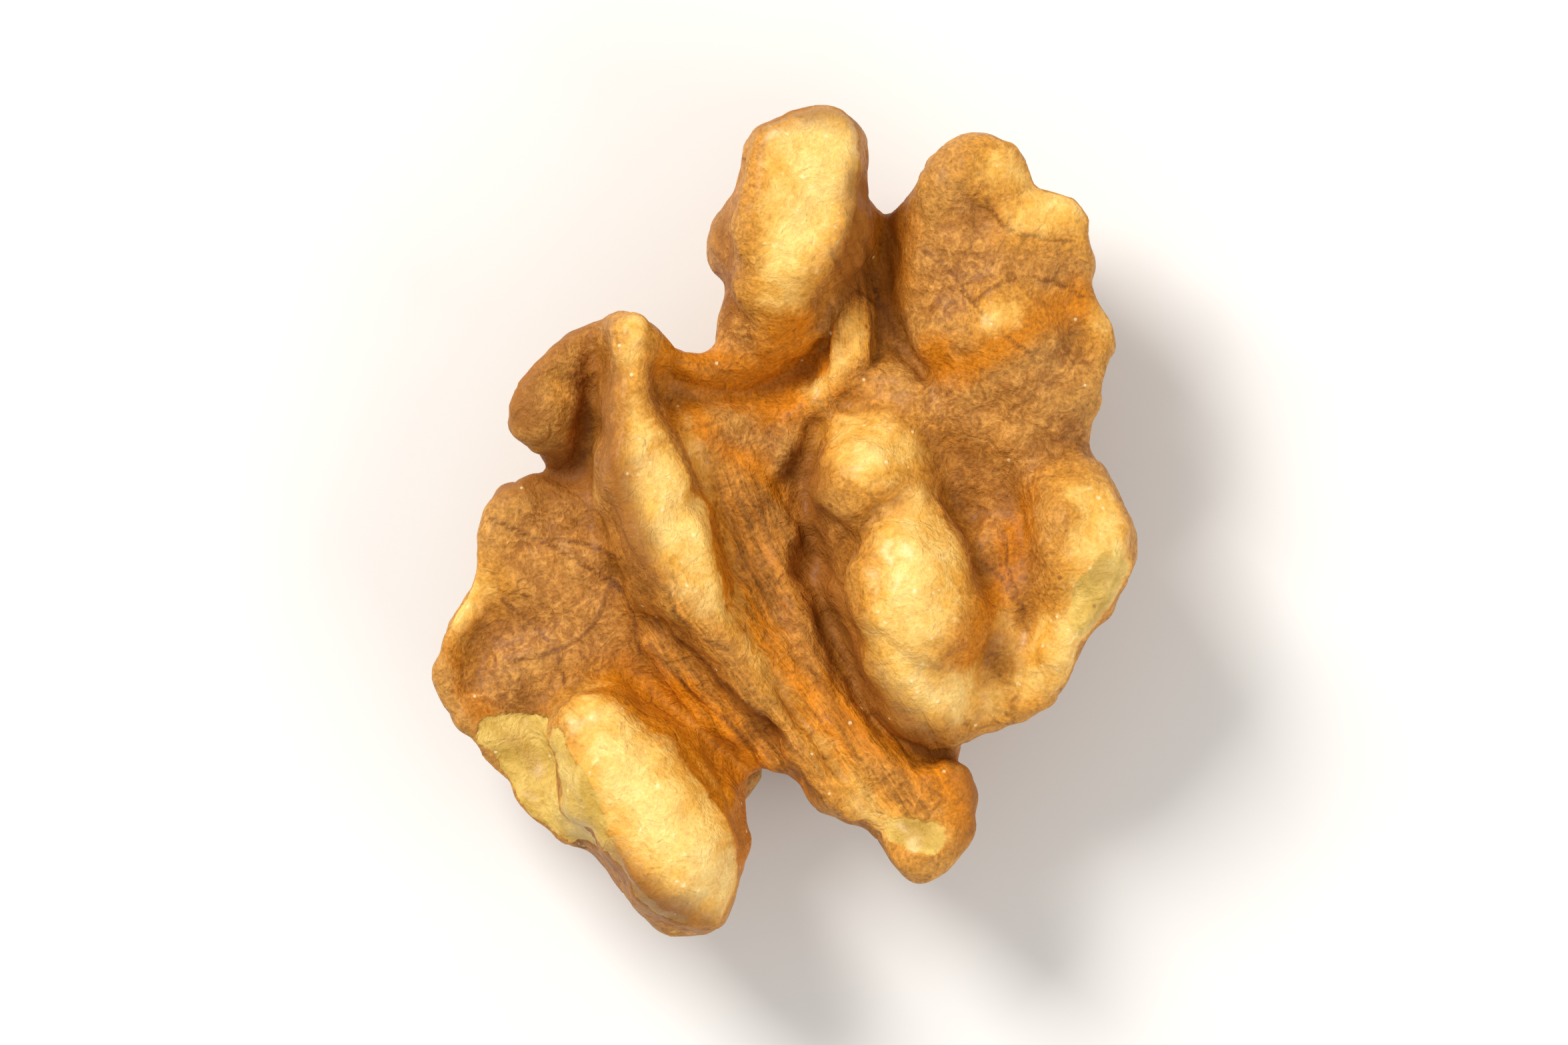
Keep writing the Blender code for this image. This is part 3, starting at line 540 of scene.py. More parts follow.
def fill_touching_corners(values, level):
    """Fills in where samples touch only across the diagonal of a grid square or of a grid cell, so
    that every edge of the skin has two faces and every corner one fan of faces."""
    filled = 1
    while filled:
        filled = 0
        for axis in range(3):
            square = np.moveaxis(values, axis, 2)
            a, b, c, d = square[:-1, :-1], square[1:, :-1], square[:-1, 1:], square[1:, 1:]
            for one, other, *rest in ((a, d, b, c), (b, c, a, d)):
                filled += fill(one, (one >= 0) & (other >= 0) & (np.maximum(*rest) < 0), level)
        ends = (slice(None, -1), slice(1, None))
        corners = [values[i, j, k] for i in ends for j in ends for k in ends]
        for number in range(4):
            one, other = corners[number], corners[7 - number]
            rest = [corner for corner in corners if corner is not one and corner is not other]
            filled += fill(one, (one >= 0) & (other >= 0) & (np.max(rest, axis=0) < 0), level)
            filled += fill(rest[0], (one < 0) & (other < 0) & (np.min(rest, axis=0) >= 0), level)


# %% Points and faces of the skin
def skin(values, low, step):
    """A point in each cell that the skin crosses, at the middle of the crossings on the cell's
    edges, and a face across each edge of the grid that the skin cuts."""
    cells = np.array(values.shape) - 1
    total = np.zeros((*cells, 3))
    count = np.zeros(cells, int)
    cut_edges = []
    for axis in range(3):
        others = [a for a in range(3) if a != axis]
        near = np.moveaxis(values, axis, 0)[:-1]
        far = np.moveaxis(values, axis, 0)[1:]
        crossed = (near < 0) != (far < 0)
        at = np.argwhere(crossed)
        where = np.zeros((len(at), 3))
        where[:, axis] = at[:, 0] + near[crossed] / (near[crossed] - far[crossed])
        where[:, others] = at[:, 1:]
        base = np.zeros((len(at), 3), int)
        base[:, axis] = at[:, 0]
        base[:, others] = at[:, 1:]
        around = []
        for first, second in ((-1, -1), (0, -1), (0, 0), (-1, 0)):
            cell = base.copy()
            cell[:, others] += (first, second)
            around.append(cell)
            np.add.at(total, tuple(cell.T), where)
            np.add.at(count, tuple(cell.T), 1)
        cut_edges.append((np.stack(around, axis=1), (near[crossed] < 0) != (axis == 1)))
    number = np.full(cells, -1)
    number[count > 0] = np.arange((count > 0).sum())
    corners = low + step * total[count > 0] / count[count > 0][:, None]
    faces = []
    for around, entering in cut_edges:
        four = number[tuple(np.moveaxis(around, -1, 0))]
        faces.append(np.where(entering[:, None], four, four[:, ::-1]))
    return corners, np.vstack(faces)


def main_piece(corners, faces):
    """The corners and faces of the largest joined piece, without small loose ones: every corner
    takes the lowest number of its faces until none changes."""
    label = np.arange(len(corners))
    before = None
    while not np.array_equal(label, before):
        before = label.copy()
        np.minimum.at(label, faces, before[faces].min(1)[:, None])
        label = label[label]
    keep = label == np.bincount(label).argmax()
    number = np.cumsum(keep) - 1
    return corners[keep], number[faces[keep[faces[:, 0]]]]


fill_touching_corners(block.values, -0.1 * block.step)
corners, faces = main_piece(*skin(block.values, block.low, block.step))
print("the skin has", len(corners), "points and", 2 * len(faces), "triangles")

# %% [markdown]
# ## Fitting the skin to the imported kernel
#
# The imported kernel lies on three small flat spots, where its lowest swellings are worn. The skin is
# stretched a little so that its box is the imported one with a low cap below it, and what is below
# the table is pressed flat.

# %% Fit
FLAT_CUT = 0.95


def fitted(corners):
    """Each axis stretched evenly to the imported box, whose bottom is lowered by the flat spot's
    depth."""
    low, high = corners.min(0), corners.max(0)
    new_low = cad_low - (0, 0, FLAT_CUT)
    return new_low + (corners - low) * (cad_high - new_low) / (high - low)


def point_normals(corners, faces):
    """Each face's direction is the cross product of its diagonals, and a point takes the sum of its
    faces'."""
    a, b, c, d = (corners[faces[:, k]] for k in range(4))
    across = np.cross(c - a, d - b)
    count = len(corners)
    sums = [np.bincount(faces.ravel(), np.repeat(part, 4), count) for part in across.T]
    total = np.stack(sums, axis=1)
    return total / np.maximum(np.linalg.norm(total, axis=1, keepdims=True), 1e-12)


corners = fitted(corners)
normals = point_normals(corners, faces)
corners[:, 2] = np.maximum(corners[:, 2], 0)

# %% [markdown]
# ## Where the skin is rubbed, peeled, stained and veined, and where shade is painted
#
# A shelled kernel has been knocked about. Its brown skin is rubbed off the swellings, so pale flesh
# shows there, and in a few places it has peeled away whole. Amber stains follow some hollows. The
# dark places are partly darker skin and partly painted shade in grooves, clefts and on flanks turned
# away from the lamp. Such places have no rule, so each is drawn as a short path seen from above,
# with a radius. The distance to a path is one number for each point of the skin, and the material
# turns that number into a soft or a crisp edge.

# %% Rubbed places, drawn from above: (x, y, radius) along each
RUBBED = {
    "finger": [
        (1.6, 16.3, 2.3), (1.4, 14.6, 2.2), (0.8, 12.8, 1.8), (0.3, 11.2, 1.3), (0.0, 10.2, 1.0),
    ],
    "crest": [
        (-6.1, 8.6, 0.7), (-6.5, 7.0, 0.1), (-6.4, 5.0, 0.0), (-5.8, 3.0, 0.9), (-5.0, 1.2, 1.5),
        (-4.4, -0.4, 1.5), (-3.6, -2.0, 1.2), (-2.8, -3.2, 0.8), (-2.2, -4.0, 0.3),
    ],
    "crest line": [
        (-1.6, -5.0, -0.1), (-0.2, -7.0, 0.0), (1.4, -9.2, 0.0), (2.9, -11.4, 0.2),
        (3.9, -12.9, 0.5),
    ],
    "left bulb": [
        (-8.2, -8.2, 0.9), (-7.3, -9.7, 1.7), (-5.6, -12.1, 2.2), (-3.9, -14.2, 2.1),
        (-3.0, -15.6, 1.6),
    ],
    "small bulb": [(3.0, 3.4, 1.2), (3.8, 3.1, 1.5), (5.0, 2.9, 0.8)],
    "main bulb": [
        (5.3, 0.0, 1.3), (5.7, -1.8, 1.9), (5.3, -4.0, 1.6), (5.0, -6.0, 1.3), (6.2, -7.4, 1.2),
        (8.4, -7.2, 0.9),
    ],
    "cup": [(9.4, -4.4, 0.3), (10.4, -5.6, 0.7), (11.2, -4.4, 0.4)],
    "right arm": [
        (12.2, 1.4, 0.2), (13.4, 0.6, 0.8), (13.6, -1.4, 1.4), (13.2, -3.6, 1.1), (12.0, -5.6, 1.0),
        (10.4, -6.8, 0.6),
    ],
    "upper slope": [
        (-5.0, 7.0, -0.4), (-4.6, 5.4, -0.5), (-4.2, 4.2, -0.2), (-3.9, 2.8, 0.5), (-3.5, 2.0, 0.3),
    ],
    "flap": [(10.2, 13.2, 0.5), (11.4, 13.6, 1.1), (12.4, 13.2, 0.8)],
    "brow": [(9.2, 15.1, 0.6), (9.9, 14.8, 0.4)],
    "lump": [(9.0, 8.8, 0.4), (9.5, 8.9, 0.3)],
    "right knob": [(13.8, 9.4, 0.4), (14.0, 8.5, 0.5)],
    "tip": [(4.6, -12.9, 0.3), (5.6, -13.4, 0.3), (6.8, -13.4, 0.0)],
    "fold": [(3.1, 8.6, 0.2), (2.9, 7.6, 0.35), (2.0, 6.5, 0.35), (1.2, 5.6, 0.2)],
    "left edge": [(-13.4, -2.9, 0.6), (-14.0, -3.8, 0.6), (-13.8, -5.4, -0.5), (-13.3, -6.8, -0.8)],
    "left knob": [(-9.8, 6.2, -0.9), (-9.3, 4.9, -0.9)],
}
print(len(RUBBED), "rubbed places")

# %% Peeled places
PEELED = {
    "ledge": [
        (-12.5, -8.9, 0.7), (-11.2, -9.6, 1.6), (-10.2, -11.0, 1.7), (-9.0, -12.4, 1.4),
        (-8.2, -13.6, 0.9), (-7.3, -15.2, 0.7), (-6.0, -16.6, 0.6), (-4.4, -17.4, 0.5),
    ],
    "arm": [(13.9, -1.8, 0.7), (13.3, -3.0, 1.0), (12.9, -4.2, 0.7)],
    "tip": [(5.1, -13.2, 0.7), (6.1, -13.4, 0.8)],
}
print(len(PEELED), "peeled places")

# %% Amber places
AMBER = {
    "left bulb": [
        (-7.0, -7.0, 0.8), (-4.9, -8.3, 1.4), (-3.2, -10.1, 1.6), (-2.0, -12.1, 1.5),
        (-1.2, -13.8, 0.9),
    ],
    "hollow": [(0.3, 8.0, 0.9), (0.3, 6.8, 1.4), (-0.2, 5.4, 1.0)],
    "collar": [(-4.6, 6.8, 0.8), (-2.6, 6.2, 0.9), (-1.0, 6.0, 0.8)],
    "slope": [(-4.2, 4.6, 0.5), (-3.4, 3.8, 0.3)],
    "tongue": [
        (1.8, -6.8, 0.1), (3.2, -8.6, 0.4), (5.0, -9.8, 0.3), (6.8, -10.8, 0.5), (7.8, -12.4, 0.5),
    ],
    "arm": [
        (10.8, 2.0, -0.3), (10.2, 0.4, 0.1), (9.8, -1.2, 0.5), (9.2, -2.8, 0.2), (8.3, -4.4, 0.2),
        (7.6, -6.2, 0.4),
    ],
    "left knob": [(-9.8, 6.6, -0.9), (-9.6, 5.2, -0.8), (-9.2, 4.0, -0.2)],
    "left edge": [(-14.2, -5.4, -0.4), (-13.9, -6.8, -0.3), (-12.8, -8.2, 0.2)],
    "right lobe": [(6.6, 7.2, 0.5), (7.6, 6.6, 0.3), (12.6, 9.6, 0.5)],
    "gap": [(4.5, 14.4, 0.3), (4.5, 12.2, 0.5), (4.5, 9.6, 0.3)],
    "saddle top": [(-2.8, 3.2, 0.0), (-1.4, 2.4, 0.2), (-0.2, 1.2, 0.0)],
    "saddle": [
        (-3.4, 0.6, 0.3), (-2.6, -2.2, 0.3), (-1.0, -4.8, 0.3), (0.6, -7.2, 0.3), (2.4, -9.8, 0.2),
    ],
}
print(len(AMBER), "amber places")

# %% Dark places: darker skin, and painted shade in grooves, clefts and on shaded flanks
DARK_SKIN_AND_SHADE = {
    # The groove, the finger flank, the cleft beside the tongue and the knob's shadow on the left
    # sheet are painted shade.
    "groove": [(4.4, 15.2, 0.3), (4.6, 12.6, 0.2), (4.6, 10.4, 0.2), (4.4, 8.8, 0.2)],
    "finger flank": [(3.4, 14.4, 0.5), (3.0, 12.0, 0.6), (2.8, 10.2, 0.5)],
    "left knob": [(-8.4, 9.2, 0.8), (-10.2, 7.8, 0.7), (-11.3, 5.8, 0.5), (-11.3, 4.6, 0.8)],
    "left sheet": [(-12.2, 1.8, 0.6), (-10.6, 2.2, 0.9), (-9.0, 2.0, 0.8)],
    "beside the tongue": [
        (1.2, 2.4, 0.4), (1.5, -1.0, 0.5), (2.5, -4.4, 0.5), (3.9, -7.4, 0.6), (6.2, -9.4, 0.6),
    ],
    "bulb rim": [
        (-7.2, -13.9, 0.1), (-6.4, -15.1, 0.4), (-5.6, -16.0, 0.5), (-4.6, -16.7, 0.5),
        (-3.3, -17.1, 0.4),
    ],
    "tongue middle": [(1.0, -6.0, -0.5), (2.6, -8.3, 0.0), (4.0, -10.0, -0.3)],
    "ledge": [(-11.8, -9.2, -0.3), (-11.0, -10.0, -0.2), (-10.4, -10.8, -0.4)],
    "tip": [(5.2, -12.9, -0.1), (6.0, -13.1, -0.1)],
    "main bulb": [(4.6, -5.2, -0.5), (5.6, -5.8, -0.3), (6.7, -6.2, -0.4)],
    "tongue side": [(7.2, -10.0, 0.3), (8.1, -11.2, 0.3), (8.2, -12.6, 0.2), (7.4, -13.8, 0.0)],
    "finger side": [(-2.5, 13.4, 0.0), (-2.8, 12.0, 0.2), (-2.4, 10.4, 0.1), (-2.3, 9.0, 0.1)],
    "finger end": [(-0.8, 17.0, 0.1), (0.4, 17.4, 0.3), (2.0, 17.5, 0.3), (3.4, 17.1, 0.1)],
    "crest flank": [(-7.5, 6.0, 0.4), (-7.4, 2.6, 0.5), (-6.6, 0.0, 0.5), (-5.6, -2.4, 0.4)],
}
print(len(DARK_SKIN_AND_SHADE), "dark places")

# %% Strands, and veins, which are lines without a radius
STRANDS = {
    "tongue": [
        (-2.0, 1.8, 1.0), (-1.2, 0.2, 2.0), (0.0, -3.0, 2.4), (2.2, -7.0, 2.4), (4.4, -10.2, 2.8),
    ],
    "flank": [
        (-7.0, 0.0, 0.6), (-6.0, -3.0, 1.3), (-4.0, -5.8, 1.6), (-1.6, -8.4, 1.4),
        (1.2, -11.0, 1.0),
    ],
    "gap": [(3.2, 13.6, 0.7), (3.4, 11.0, 1.2), (3.0, 8.0, 1.3), (1.6, 5.6, 1.0)],
}
VEINS = {
    "sheet 1": [
        (-12.6, 0.2), (-10.4, -0.8), (-9.0, -1.6), (-7.6, -2.4), (-6.6, -3.4), (-6.2, -5.6),
    ],
    "sheet 2": [(-10.2, -0.7), (-8.6, -0.9), (-7.0, -1.5)],
    "sheet 3": [(-7.4, -2.5), (-8.2, -4.4), (-9.6, -5.4), (-11.8, -6.0)],
    "sheet 4": [(-12.2, -3.2), (-10.8, -4.4), (-9.8, -5.5), (-9.4, -7.0)],
    "flank 1": [(-5.7, -2.2), (-4.9, -2.9), (-4.6, -3.8), (-3.6, -4.8), (-2.4, -5.4)],
    "flank 2": [(-5.8, -5.2), (-4.4, -6.8), (-2.8, -8.2), (-1.2, -9.8)],
    "flank 3": [(-4.8, -4.6), (-2.8, -6.6), (-1.0, -8.2), (0.8, -10.0)],
    "finger 1": [(3.6, 14.6), (3.6, 12.2), (3.4, 10.8), (4.2, 9.4), (4.9, 8.0)],
    "finger 2": [(2.0, 11.6), (2.6, 10.3), (3.4, 9.7), (4.4, 9.0)],
    "lobe 1": [(6.0, 11.6), (7.2, 10.6), (8.0, 9.4), (9.6, 7.8), (10.6, 7.2)],
    "lobe 2": [(8.6, 13.8), (9.4, 12.6), (10.6, 12.2), (12.4, 12.0)],
    "lobe 3": [(8.0, 9.4), (9.8, 10.4), (11.6, 10.2), (12.8, 9.6)],
    "cup 1": [(9.4, -0.4), (9.6, -2.0), (10.1, -3.4), (10.4, -4.6)],
    "cup 2": [(8.4, -1.6), (9.3, -2.4), (9.9, -3.5)],
}
print(len(STRANDS), "strands and", len(VEINS), "veins")

# %% Distances seen from above
def in_plan(points, path):
    """The nearest place on a path seen from above: distance, side (above zero to the left), how far
    along the path, and the path's own radius there."""
    nearest = np.full(len(points), np.inf)
    side, along, radius = (np.zeros(len(points)) for _ in range(3))
    passed = 0
    for start, finish in zip(path, path[1:]):
        run = (finish - start)[:2]
        length = np.linalg.norm(run)
        offset = points[:, :2] - start[:2]
        t = np.clip(offset @ run / length**2, 0, 1)
        distance = np.linalg.norm(offset - t[:, None] * run, axis=1)
        closer = distance < nearest
        nearest[closer] = distance[closer]
        side[closer] = np.sign(run[0] * offset[closer, 1] - run[1] * offset[closer, 0])
        along[closer] = passed + t[closer] * length
        radius[closer] = start[2] + t[closer] * (finish[2] - start[2])
        passed += length
    return nearest, side, along, radius


def inside_patches(points, patches):
    """How far inside the nearest patch each point is, in millimetres; below zero outside all of
    them."""
    depth = np.full(len(points), -3.0)
    for path in patches.values():
        distance, _, _, radius = in_plan(points, smooth_path(path))
        depth = np.maximum(depth, radius - distance)
    return depth


# %% The numbers that the material will read
HIDDEN = 2.5
level = corners[:, 2]
upward = ease((normals[:, 2] - 0.05) / 0.35) * ease((level - 6.0) / 1.0)
above = ease((level - 5.0) / 2.0)
marks = {
    "rubbed": inside_patches(corners, RUBBED) - HIDDEN * (1 - upward),
    "peeled": inside_patches(corners, PEELED) - HIDDEN * (1 - upward),
    "amber": inside_patches(corners, AMBER) - HIDDEN * (1 - above),
    "dark": inside_patches(corners, DARK_SKIN_AND_SHADE) - HIDDEN * (1 - above),
    "strands": inside_patches(corners, STRANDS) - HIDDEN * (1 - above),
    "veins": inside_patches(corners, VEINS) - HIDDEN * (1 - ease((level - 5.5) / 1.0)),
}
crest_plan = [(x, y, 0) for x, y, *_ in RIDGES["crest"]]
distance, side, along, _ = in_plan(corners, smooth_path(crest_plan))
marks["fibre"] = np.stack([distance * side, along, np.zeros(len(corners))], axis=1)
for name in ("rubbed", "peeled", "amber", "dark", "strands"):
    print(name, "covers", round(100 * float((marks[name] > 0).mean()), 1), "% of the skin's points")

# %% [markdown]
# ## Hollows and swellings
#
# The hollows and creases get painted shade, and swellings are rubbed bright. How hollow a place is
# follows from the net itself: each point is compared with the mean of the points around it. Few
# rounds of averaging find small dents, many rounds find broad ones.

# %% How hollow each place is
def averaged(values, faces, rounds):
    """Each point takes the mean of the points that share an edge with it, this many times."""
    here = np.concatenate([faces.ravel(), np.roll(faces, -1, axis=1).ravel()])
    there = np.roll(here, faces.size)
    count = np.bincount(here, minlength=len(values))
    for _ in range(rounds):
        sums = [np.bincount(here, column[there], len(count)) for column in values.T]
        values = np.stack(sums, axis=1) / count[:, None]
    return values


def swelling(corners, normals, faces, rounds):
    """How far each point stands out from the mean of its surroundings, in millimetres."""
    return ((corners - averaged(corners, faces, rounds)) * normals).sum(1)


finest = SKIN_STEP / 0.21
marks["small_swelling"] = swelling(corners, normals, faces, max(2, round(14 / finest**2)))
marks["broad_swelling"] = swelling(corners, normals, faces, max(6, round(110 / finest**2)))
for name in ("small_swelling", "broad_swelling"):
    spread = np.percentile(marks[name], (2, 25, 50, 75, 98))
    print(name, "in mm, from low to high:", spread.round(3))

# %% [markdown]
# ## Relief
#
# The skin is not smooth between its folds: it shrank as it dried. Waves of a few lengths make it
# uneven, thin lines of waves crease it, strands run down the tongue beside the crest, and where
# skin is missing the flesh lies deeper by the skin's thickness.

# %% Move each point along its normal
SKIN_THICKNESS = 0.06


def relief(points, marks):
    """The height that is added at each point: waves, less creases along the zero lines of longer
    waves, plus strands, less the skin's thickness where it is missing."""
    waves = 0.045 * wave_sum(points, 2.1, 21) + 0.028 * wave_sum(points, 1.15, 22)
    covered = 1 - ease(marks["rubbed"] / 0.8 + 0.5)
    creases = 0.07 * np.exp(-((wave_sum(points, 5.6, 23) / 0.11) ** 2))
    creases += 0.04 * np.exp(-((wave_sum(points, 3.1, 24) / 0.12) ** 2))
    fibre = marks["fibre"] * (1, 0.16, 0)
    strands = 0.05 * wave_sum(fibre, 0.8, 25) + 0.03 * wave_sum(fibre, 0.5, 26)
    stranded = ease(marks["strands"] / 1.2 + 0.3)
    missing = np.maximum(ease(marks["rubbed"] / 0.8 + 0.5), ease(marks["peeled"] / 0.3 + 0.5))
    creased = (0.35 + 0.65 * covered) * creases
    return waves - creased + stranded * strands * covered - SKIN_THICKNESS * missing


corners = corners + relief(corners, marks)[:, None] * normals
corners[:, 2] = np.maximum(corners[:, 2], 0)
corners = np.clip(corners, cad_low, cad_high)
low, high = corners.min(0).round(2), corners.max(0).round(2)
print("the relief is done; the skin reaches from", low, "to", high, "mm")

# %% The mesh
def kernel_mesh(name, corners, faces, marks):
    """The skin as a mesh in metres, with every mark as an attribute of its points."""
    mesh = bpy.data.meshes.new(name)
    mesh.from_pydata((corners * MM).tolist(), [], faces.tolist())
    for mark, values in marks.items():
        kind, key = ("FLOAT", "value") if values.ndim == 1 else ("FLOAT_VECTOR", "vector")
        layer = mesh.attributes.new(mark, kind, "POINT")
        layer.data.foreach_set(key, values.astype(np.float32).ravel())
    mesh.update()
    mesh.shade_smooth()
    return mesh


kernel = bpy.data.objects.new("walnut_skin", kernel_mesh("walnut_skin", corners, faces, marks))
bpy.context.scene.collection.objects.link(kernel)
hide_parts("kernel_half")
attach(kernel, "root")
skin_mesh = kernel.data
print("the mesh has", len(skin_mesh.polygons), "faces and", len(skin_mesh.attributes), "attributes")

# %% [markdown]
# ## Shader maths as sums
#
# A walnut's colour is many layers, and drawing each as a chain of nodes by hand is slow and hard to
# change. A small class wraps a socket, so that an ordinary sum such as 1 - mask adds the Math node.
# One method adds any other node.

# %% Signals
class Signal:
    """One output socket. Sums, differences and products of Signals and numbers add Math nodes."""

    def __init__(self, paint, socket):
        self.paint, self.socket = paint, socket

    def maths(self, operation, one, other):
        return self.paint.node("Math", {"operation": operation}, {0: one, 1: other})

    def __add__(self, other):
        return self.maths("ADD", self, other)

    def __radd__(self, other):
        return self.maths("ADD", other, self)

    def __sub__(self, other):
        return self.maths("SUBTRACT", self, other)

    def __rsub__(self, other):
        return self.maths("SUBTRACT", other, self)

    def __mul__(self, other):
        return self.maths("MULTIPLY", self, other)

    def __rmul__(self, other):
        return self.maths("MULTIPLY", other, self)

    def most(self, other):
        return self.maths("MAXIMUM", self, other)

    def ramp(self, low, high):
        """0 below low, 1 above high, eased between them."""
        ends = {"Value": self, "From Min": low, "From Max": high}
        return self.paint.node("MapRange", {"interpolation_type": "SMOOTHSTEP"}, ends)


# %% Paint
class Paint:
    """The nodes of one material."""

    def __init__(self, name):
        self.material = bpy.data.materials.new(name)
        self.material.use_nodes = True
        self.nodes = self.material.node_tree.nodes
        self.shader = self.nodes["Principled BSDF"]

    def feed(self, socket, value):
        if isinstance(value, Signal):
            self.material.node_tree.links.new(value.socket, socket)
        elif isinstance(value, tuple) and len(value) == 3 and socket.type == "RGBA":
            socket.default_value = (*value, 1)
        else:
            socket.default_value = value

    def node(self, kind, settings=None, inputs=None, output=0):
        """Any node: its settings first, then the values or links of its sockets."""
        made = self.nodes.new("ShaderNode" + kind)
        made.location = (-260 * (len(self.nodes) // 8) - 300, 260 * (len(self.nodes) % 8) - 900)
        for key, value in (settings or {}).items():
            setattr(made, key, value)
        for key, value in (inputs or {}).items():
            self.feed(made.inputs[key], value)
        return Signal(self, made.outputs[output])

    def mark(self, name):
        """An attribute of the mesh as a number."""
        return self.node("Attribute", {"attribute_name": name}, output="Fac")

    def blend(self, share, one, other):
        """Two colours mixed by the share of the other."""
        settings = {"data_type": "RGBA", "clamp_factor": True}
        return self.node("Mix", settings, {0: share, 6: one, 7: other}, output=2)

    def shade(self, colour, share):
        """A colour made lighter or darker by a number."""
        return self.node("VectorMath", {"operation": "SCALE"}, {0: colour, "Scale": share})

    def noise(self, at, size, detail=2.0, roughness=0.5, kind="FBM"):
        """Noise whose spots are about this many millimetres wide: clouds from 0 to 1, or ridges."""
        sizes = {"Vector": at, "Scale": 1 / size, "Detail": detail, "Roughness": roughness}
        return self.node("TexNoise", {"noise_type": kind}, sizes)

    def cells(self, at, size, feature="F1"):
        """Distance to the middles or edges of Voronoi cells about this many millimetres wide."""
        return self.node("TexVoronoi", {"feature": feature}, {"Vector": at, "Scale": 1 / size})


# %% [markdown]
# ## The skin and the flesh
#
# The real skin is a thin papery coat, golden to dark brown, mottled like tanned leather and netted
# with fine darker veins. The flesh under it is pale yellow and slightly waxy, and where it lies
# bare for long it turns greenish or amber. The layers below follow that order: coat, stains, painted
# shade in hollows and creases, and veins, then bare flesh, and last the dark patches (darker skin
# and painted shade), specks and crumbs that lie on both.

# %% Coordinates in millimetres
paint = Paint("walnut skin")
kernel.data.materials.append(paint.material)
here = paint.node("TexCoord", output="Object")
here = paint.node("VectorMath", {"operation": "SCALE"}, {0: here, "Scale": 1 / MM})
drift = paint.node("TexNoise", inputs={"Vector": here, "Scale": 0.9, "Detail": 2.0}, output="Color")
drift = paint.node("VectorMath", {"operation": "SUBTRACT"}, {0: drift, 1: (0.5, 0.5, 0.5)})
scale_and_add = {"operation": "MULTIPLY_ADD"}
warped = paint.node("VectorMath", scale_and_add, {0: drift, 1: (1.3, 1.3, 1.3), 2: here})
fibre = paint.node("Attribute", {"attribute_name": "fibre"}, output="Vector")
fibre = paint.node("VectorMath", scale_and_add, {0: drift, 1: (0.35, 0.5, 0.0), 2: fibre})
fibre = paint.node("VectorMath", {"operation": "MULTIPLY"}, {0: fibre, 1: (1.0, 0.09, 1.0)})

# %% Patterns
broad = paint.noise(here, 5.0, 3.0)
cloud = paint.noise(warped, 1.3, 4.0, 0.6)
mottle = paint.noise(warped, 0.42, 3.0, 0.65)
grain = paint.noise(here, 0.16, 2.0, 0.6)
streaks = paint.noise(fibre, 0.34, 3.0, 0.7)
fine_streaks = paint.noise(fibre, 0.14, 2.0, 0.6)
net = paint.cells(warped, 2.3, "DISTANCE_TO_EDGE")
fine_net = paint.cells(warped, 0.95, "DISTANCE_TO_EDGE")
pits = paint.cells(here, 0.55)
specks = paint.cells(here, 2.2).ramp(0.075, 0.03)
crumbs = paint.cells(here, 1.6).ramp(0.065, 0.03)
wrinkle = paint.noise(warped, 1.6, 4.0, 0.55, kind="RIDGED_MULTIFRACTAL").ramp(0.0, 1.6)

# The broad hollows and the small creases picked here get painted shade in the colours below.
hollow = paint.mark("broad_swelling").ramp(-0.02, -0.55)
swell = paint.mark("broad_swelling").ramp(0.05, 0.55)
crease_shade = paint.mark("small_swelling").ramp(-0.005, -0.10)
bulge = paint.mark("small_swelling").ramp(0.01, 0.09)
ragged = (cloud - 0.5) * 1.5 + (mottle - 0.5) * 0.7
worn = paint.mark("rubbed") + ragged
rubbed = worn.ramp(-0.7, 0.6)
golden = worn.ramp(-1.9, 0.0)
core = worn.ramp(0.2, 1.7)
peeled = (paint.mark("peeled") + (cloud - 0.5) * 0.9 + (mottle - 0.5) * 0.3).ramp(-0.05, 0.1)
amber = (paint.mark("amber") + (cloud - 0.5) * 1.6).ramp(-0.9, 0.3)
dark = (paint.mark("dark") + (cloud - 0.5) * 1.6).ramp(-0.9, 0.6)
stranded = paint.mark("strands").ramp(-0.6, 0.6)
vein = (paint.mark("veins") + (cloud - 0.5) * 0.1).ramp(-0.17, -0.02)
netted = net.ramp(0.075, 0.0) * broad.ramp(0.3, 0.62)
fine_netted = fine_net.ramp(0.09, 0.0) * cloud.ramp(0.42, 0.62)

# %% The colour of the coat
coat = paint.blend(broad.ramp(0.32, 0.7), (0.39, 0.145, 0.024), (0.55, 0.225, 0.036))
coat = paint.blend(mottle.ramp(0.38, 0.72), coat, (0.66, 0.31, 0.066))
coat = paint.blend(swell * (0.35 - 0.35 * stranded), coat, (0.66, 0.31, 0.056))
coat = paint.blend(bulge * 0.3, coat, (0.70, 0.36, 0.080))
coat = paint.blend(golden * 0.75, coat, (0.70, 0.29, 0.026))
coat = paint.blend(stranded * (1 - golden) * 0.5, coat, (0.50, 0.170, 0.008))
coat = paint.blend(amber * 0.85, coat, (0.68, 0.215, 0.002))
# Painted shade: darker in the broad hollows and in the small creases, less where the skin is amber.
coat = paint.blend(hollow * (0.4 - 0.35 * amber), coat, (0.46, 0.150, 0.004))
coat = paint.blend(crease_shade * (0.4 - 0.25 * amber), coat, (0.24, 0.075, 0.006))
lines = (0.65 * vein).most(0.26 * netted).most(0.16 * fine_netted)
coat = paint.blend(lines, coat, (0.16, 0.045, 0.008))
streaked = stranded * (streaks.ramp(0.30, 0.70) - 0.45) * 0.6
shading = 1 + streaked + (wrinkle - 0.5) * 0.35 + (mottle - 0.5) * 0.6 + (grain - 0.5)
coat = paint.shade(coat, shading)

